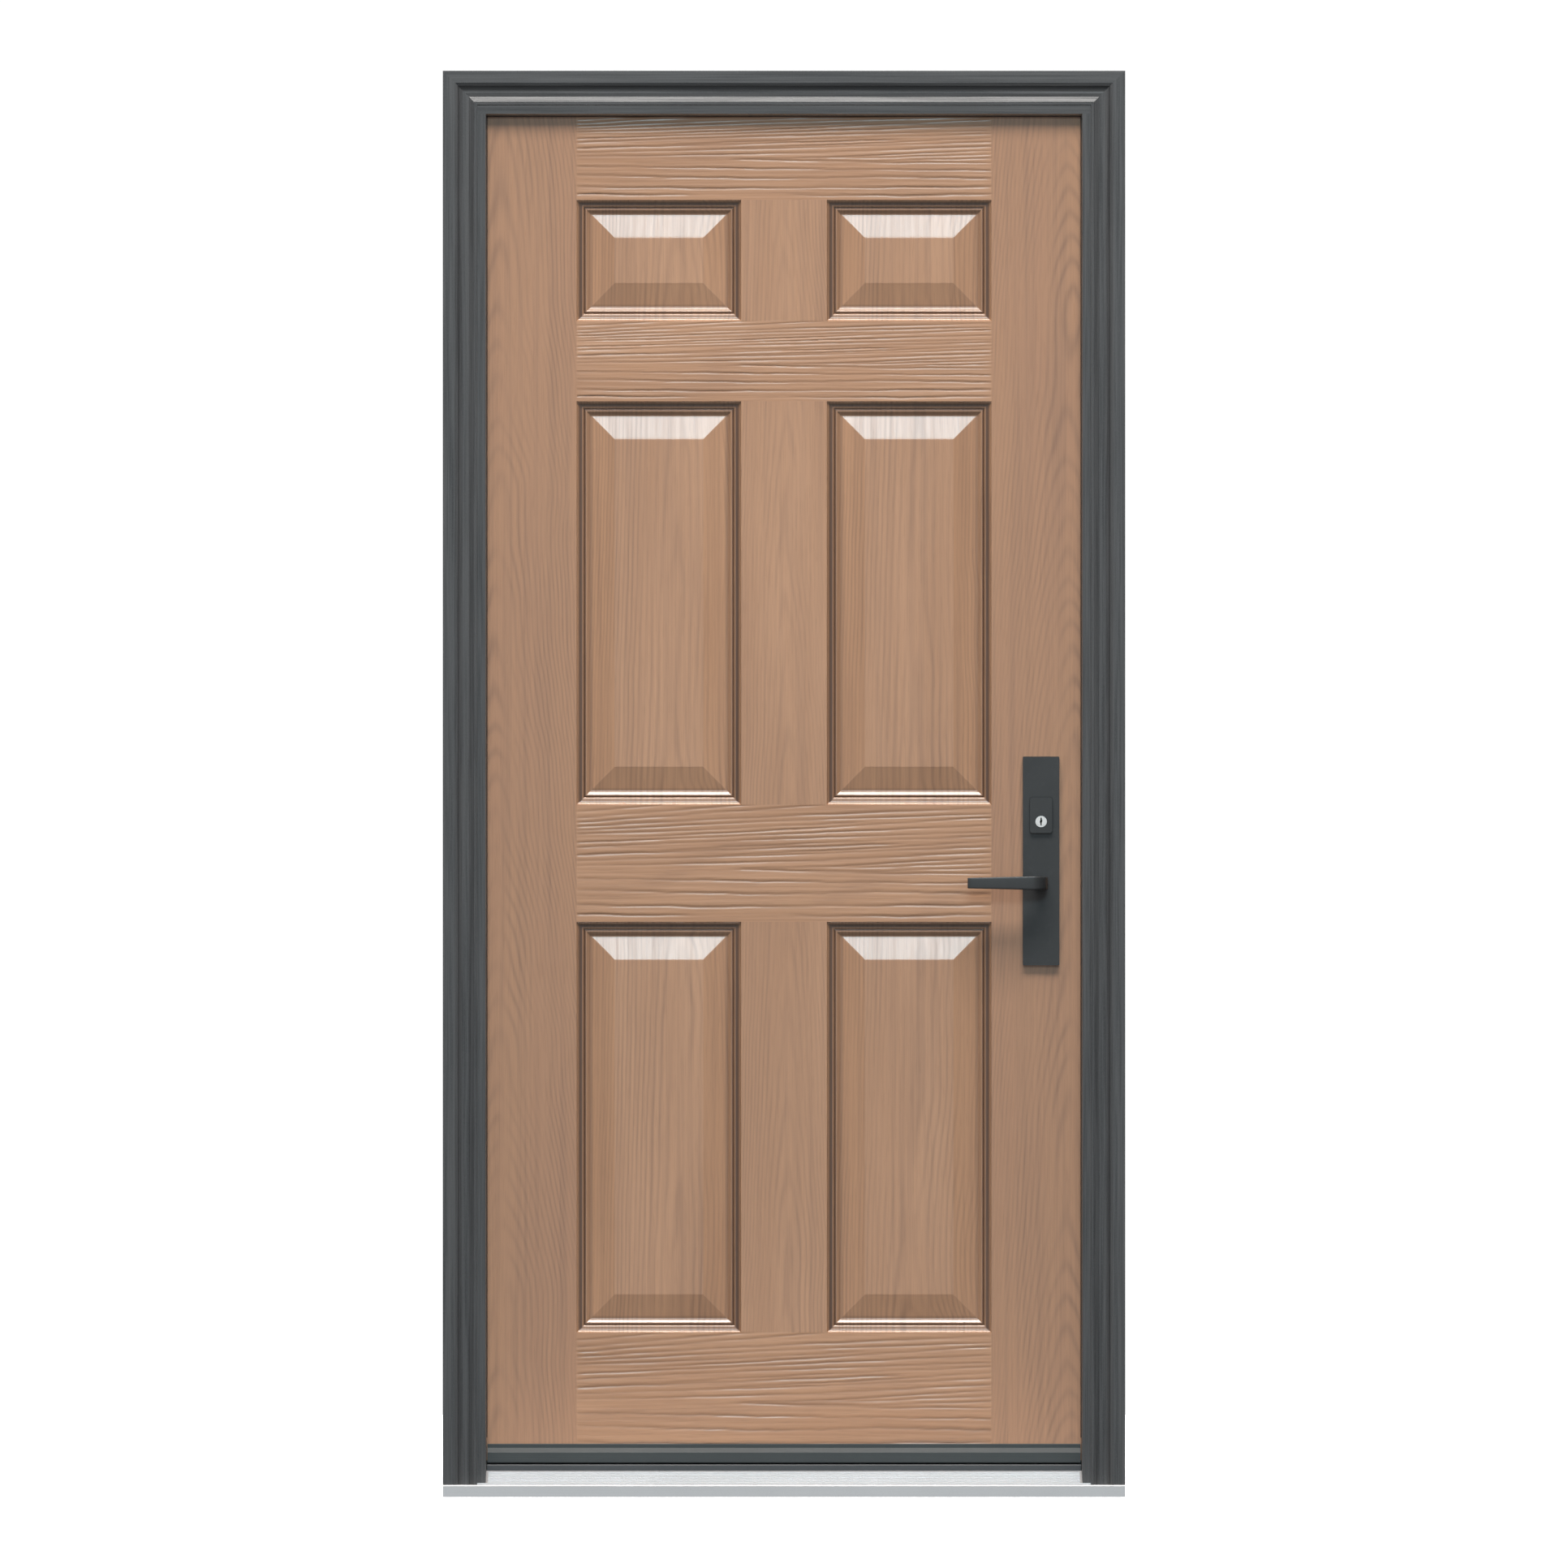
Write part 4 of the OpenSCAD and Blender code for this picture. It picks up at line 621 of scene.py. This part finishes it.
def speckled(name, base, vary, rough, metal=0.0, grain=700.0, depth=0.06, streak=None, keyway=None):
    """A finish with fine grain, slow tone changes and, with streak, drawn or brushed lines."""
    g = Graph(name, rough=rough, metal=metal)
    fine = g.noise(g.place, grain, 3.0, 0.6)
    tone = g.noise(g.place, 9.0, 2.0)
    col = g.mix(g.range(fine, 0.35, 0.65), tuple(c * (1 - vary) for c in base), base)
    col = g.mix(g.mul(g.range(tone, 0.3, 0.7), 0.6), col, tuple(min(1, c * (1 + vary)) for c in base))
    height = fine
    r = g.range(fine, 0.3, 0.7, rough * 0.85, rough * 1.15)
    if streak:
        drawn = g.stretched(*streak, 2.3, 4, 0.6)
        col = g.mix(g.mul(g.range(drawn, 0.35, 0.65), 0.5), col, tuple(c * (1 - 1.4 * vary) for c in base))
        r = g.add(r, g.range(drawn, 0.3, 0.7, -0.05, 0.07))
        height = g.add(g.mul(fine, 0.3), drawn)
    g.color(col).rough(r).bump(height, depth * MM, 0.6)
    # Painted shade in the key plug's slot
    if keyway:
        keyway_shade(g, keyway)
    return g.mat


PLY = 0.0032  # thickness of a ply


def timber(name):
    """Laminated veneer: thin plies through the slab's thickness, with grain along the edge."""
    g = Graph(name, rough=0.6)
    warp = g.mul(g.noise(g.place, 6.0, 2.0), 0.004)
    layers = g.mul(g.add(g.y, warp), 1 / PLY)
    ply = g.math("FRACT", layers)
    joint = g.ramp(ply, (0.0, 1.0), (0.12, 0.0), (0.93, 0.0), (1.0, 0.8))
    fibre = g.stretched(260, 300, 7, 0.4, 4, 0.6)
    each = g.noise(g.vector(0.0, g.math("FLOOR", layers), g.mul(g.z, 0.6)), 3.1, 1.0)
    col = g.mix(g.range(each, 0.3, 0.7), srgb(196, 160, 112), srgb(170, 128, 84))
    col = g.mix(g.mul(g.range(fibre, 0.35, 0.7), 0.45), col, srgb(132, 94, 58))
    col = g.mix(g.mul(joint, 0.55), col, srgb(96, 64, 40))
    height = g.add(fibre, g.mul(joint, -0.6))
    g.color(col).rough(g.range(fibre, 0.3, 0.7, 0.52, 0.7)).bump(height, 0.2 * MM, 0.7)
    return g.mat


def foam(name):
    """Straw-coloured foam with fine cells."""
    g = Graph(name, rough=0.85)
    cell = g.noise(g.place, 1400.0, 2.0)
    tone = g.noise(g.place, 30.0, 3.0)
    col = g.mix(g.range(tone, 0.3, 0.7), srgb(228, 208, 150), srgb(212, 186, 122))
    col = g.mix(g.mul(g.range(cell, 0.5, 0.7), 0.3), col, srgb(170, 140, 84))
    g.color(col).bump(cell, 0.3 * MM, 0.8)
    return g.mat


def handle(name, seam_shade=None):
    """Graphite coating: fine orange peel, faint soft wear and a slow change of tone, and, if a box
    (lo, hi, corner radius) is given, a dark line of painted shade around it, where a cover sits on the
    plate."""
    g = Graph(name, rough=0.4)
    peel = g.noise(g.place, 1600.0, 2.0)
    tone = g.noise(g.place, 14.0, 3.0)
    rub = g.noise(g.place, 90.0, 4.0, 0.65)
    col = g.mix(g.range(tone, 0.3, 0.7), srgb(53, 54, 55), srgb(61, 62, 63))
    col = g.mix(g.mul(g.range(rub, 0.55, 0.75), 0.3), col, srgb(71, 73, 75))
    if seam_shade:
        lo, hi, r = seam_shade
        mid, half = (lo + hi) / 2, (hi - lo) / 2

        def past_corner(v, m, h):
            from_mid = g.math("ABSOLUTE", g.math("SUBTRACT", v, m))
            return g.math("MAXIMUM", g.math("SUBTRACT", from_mid, h - r), 0.0)

        dx, dz = past_corner(g.x, mid.x, half.x), past_corner(g.z, mid.z, half.z)
        radius = g.math("SQRT", g.add(g.mul(dx, dx), g.mul(dz, dz)))
        off = g.math("ABSOLUTE", g.math("SUBTRACT", radius, r))
        # Painted shade along the line where the cylinder cover sits on the plate
        col = g.mix(g.range(off, 0.2 * MM, 1.0 * MM, 0.6, 0.0), col, srgb(22, 23, 24))
    g.color(col).rough(g.range(rub, 0.3, 0.7, 0.44, 0.35)).bump(peel, 0.05 * MM, 0.5)
    return g.mat


NICKEL = dict(base=(0.84, 0.84, 0.83), vary=0.05, rough=0.42, metal=0.2, depth=0.02, grain=1500.0)
by_slot = {
    "seal": speckled("seal_rubber", srgb(30, 31, 32), 0.25, 0.6, grain=1100.0, depth=0.1),
    "sill_metal": speckled("sill_aluminium", (0.76, 0.745, 0.75), 0.06, 0.36, metal=0.55, depth=0.03,
                           streak=(3, 800, 800)),
    "sill_composite": speckled("sill_composite", srgb(98, 95, 92), 0.2, 0.75, grain=500.0, depth=0.25),
    "threshold": speckled("threshold_plastic", srgb(66, 69, 72), 0.14, 0.42, depth=0.05,
                          streak=(3, 500, 500)),
    "bright_steel": speckled("plated_steel", (0.60, 0.60, 0.61), 0.1, 0.3, metal=1.0, depth=0.03,
                             streak=(260, 260, 9)),
    "hinge_finish": speckled("dark_hinge", srgb(50, 51, 53), 0.2, 0.38, metal=0.3, depth=0.06),
    "foam": foam("core_foam"),
    "timber": timber("laminated_timber"),
    "sweep_trim": speckled("drip_trim", srgb(62, 67, 68), 0.12, 0.4, depth=0.05, streak=(3, 500, 500)),
    "lock_steel": speckled("pressed_steel", (0.42, 0.43, 0.44), 0.12, 0.36, metal=1.0, depth=0.05,
                           streak=(9, 260, 260)),
    "handle_finish": handle("graphite"),
    "cylinder_nickel": speckled("satin_nickel", **NICKEL),
}
COVER_CORNER = 4 * MM
# The plate and the cylinder cover share a line of painted shade along the cover's edge
plate_with_seam_shade = handle("graphite_plate", (cover_lo, cover_hi, COVER_CORNER))
by_node = {
    "cylinder_cover": plate_with_seam_shade, "outside_escutcheon": plate_with_seam_shade,
    "key_plug": speckled("satin_nickel_plug", keyway=key_axis, **NICKEL),
}
frame_side = painted_wood("frame_paint_upright", "z")
frame_head = painted_wood("frame_paint_level", "x")

for part in frame["record"]["subparts"]:
    node, slot = part["node"], part["material_slot"]
    if slot == "door_skin":
        continue
    if slot == "frame_finish":
        mat = frame_head if node.startswith("head") else frame_side
    else:
        mat = by_node.get(node, by_slot[slot])
    mesh = frame["nodes"][node].data
    mesh.materials.clear()
    mesh.materials.append(mat)

for side, body_face, way in (("outside", plate_lo.y, -1), ("inside", in_plate_hi.y, 1)):
    lever = lever_mesh(side + "_lever_handle", body_face, way)
    lever.data.materials.append(by_slot["handle_finish"])
    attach(lever, "lever")
    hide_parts(side + "_lever")

# A small radius on the outer edges of the solids that keep their CAD shape
for node, width in (
    ("hinge_jamb", 0.5), ("strike_jamb", 0.5), ("head_jamb", 0.5), ("hinge_brickmould", 0.5),
    ("strike_brickmould", 0.5), ("head_brickmould", 0.5), ("sill_extrusion", 0.3), ("threshold_cap", 0.5),
    ("drip_cap", 0.3), ("outside_escutcheon", 0.5), ("inside_escutcheon", 0.5), ("cylinder_cover", 0.5),
    ("thumbturn", 0.8), ("lock_faceplate", 0.3), ("deadbolt", 0.4), ("latch_bolt", 0.4),
):
    edge = frame["nodes"][node].modifiers.new("edge", "BEVEL")
    edge.width = width * MM
    edge.segments = 2
    edge.limit_method = "ANGLE"
    edge.angle_limit = math.radians(38)


# ---------- Camera, light and floor ----------

scene = bpy.context.scene
scene.view_settings.view_transform = "Standard"
scene.view_settings.look = "None"
PIXEL = 1.21 * MM
ROWS_SHOWN, GROUND_ROW = 1932, 1843
WIDE = ROWS_SHOWN * PIXEL
LENS, SENSOR = 600.0, 36.0
front = skin_lo.y - 0.1
cam = bpy.data.cameras.new("camera")
cam.lens = LENS
cam.sensor_width = SENSOR
cam.clip_start, cam.clip_end = 0.1, 400.0
camera = bpy.data.objects.new("camera", cam)
camera.location = (0, front - WIDE * LENS / SENSOR, (GROUND_ROW - ROWS_SHOWN // 2) * PIXEL)
camera.rotation_euler = (math.pi / 2, 0, 0)
scene.collection.objects.link(camera)
scene.camera = camera


def area(name, azimuth, elevation, distance, wide, high, radiance, tint=(1, 1, 1)):
    """A soft light of that radiance, facing the middle of the door; azimuth 0 is in front."""
    a, e = math.radians(azimuth), math.radians(elevation)
    aim = Vector((0, 0, 1.06))
    away = Vector((math.sin(a) * math.cos(e), -math.cos(a) * math.cos(e), math.sin(e)))
    lamp = bpy.data.lights.new(name, "AREA")
    lamp.shape = "RECTANGLE"
    lamp.size, lamp.size_y = wide, high
    lamp.energy = radiance * math.pi * wide * high
    lamp.color = tint
    obj = bpy.data.objects.new(name, lamp)
    obj.location = aim + away * distance
    obj.rotation_euler = (-away).to_track_quat("-Z", "Y").to_euler()
    scene.collection.objects.link(obj)
    return obj


bevel = area("bevel_light", 0, 22.3, 60, 20.0, 9.6, 11.0, (0.62, 0.88, 1.0))
key = area("top_light", 0, 64, 10, 8.0, 3.0, 17.5, (1.0, 0.965, 0.93))
area("front_fill", 0, -2, 14, 9.0, 7.0, 0.33)
area("back_light", 180, 35, 10, 7.0, 5.0, 4.2)
area("back_fill", 150, 5, 12, 5.0, 5.0, 1.6)

# The deep frame casts no shade of the upper lights on the face inside it
shading = bpy.data.collections.new("shading")
for obj in scene.objects:
    if obj.type == "MESH" and not any(word in obj.name for word in ("jamb", "brickmould")):
        shading.objects.link(obj)
for lamp in (bevel, key):
    lamp.light_linking.blocker_collection = shading

# A dim white world lights the door, and the camera sees a brighter one behind it
world = bpy.data.worlds.new("studio")
scene.world = world
world.use_nodes = True
wn, wl = world.node_tree.nodes, world.node_tree.links
wn.clear()
out = wn.new("ShaderNodeOutputWorld")
dim, lit, pick, path = (wn.new(t) for t in (
    "ShaderNodeBackground", "ShaderNodeBackground", "ShaderNodeMixShader", "ShaderNodeLightPath"))
dim.inputs["Color"].default_value = (1, 1, 1, 1)
dim.inputs["Strength"].default_value = 0.18
lit.inputs["Color"].default_value = (1, 1, 1, 1)
lit.inputs["Strength"].default_value = 1.05
wl.new(path.outputs["Is Camera Ray"], pick.inputs[0])
wl.new(dim.outputs[0], pick.inputs[1])
wl.new(lit.outputs[0], pick.inputs[2])
wl.new(pick.outputs[0], out.inputs[0])

floor_mesh = bpy.data.meshes.new("floor")
FLOOR_R, FLOOR_SIDES, FLOOR_Z = 5, 96, -0.0005
turns = [2 * math.pi * k / FLOOR_SIDES for k in range(FLOOR_SIDES)]
ring = [(FLOOR_R * math.cos(a), FLOOR_R * math.sin(a), FLOOR_Z) for a in turns]
floor_mesh.from_pydata(ring, [], [list(range(FLOOR_SIDES))])
floor = bpy.data.objects.new("floor", floor_mesh)
scene.collection.objects.link(floor)
g = Graph("pale_floor", rough=0.9, spec=0.0)
g.color(g.mix(g.noise(g.place, 3.0, 2.0), (0.93, 0.93, 0.93), (0.96, 0.96, 0.96)))
g.bsdf.inputs["Emission Color"].default_value = (1, 1, 1, 1)
g.bsdf.inputs["Emission Strength"].default_value = 0.6
floor_mesh.materials.append(g.mat)
floor.visible_glossy = False
floor.visible_diffuse = False
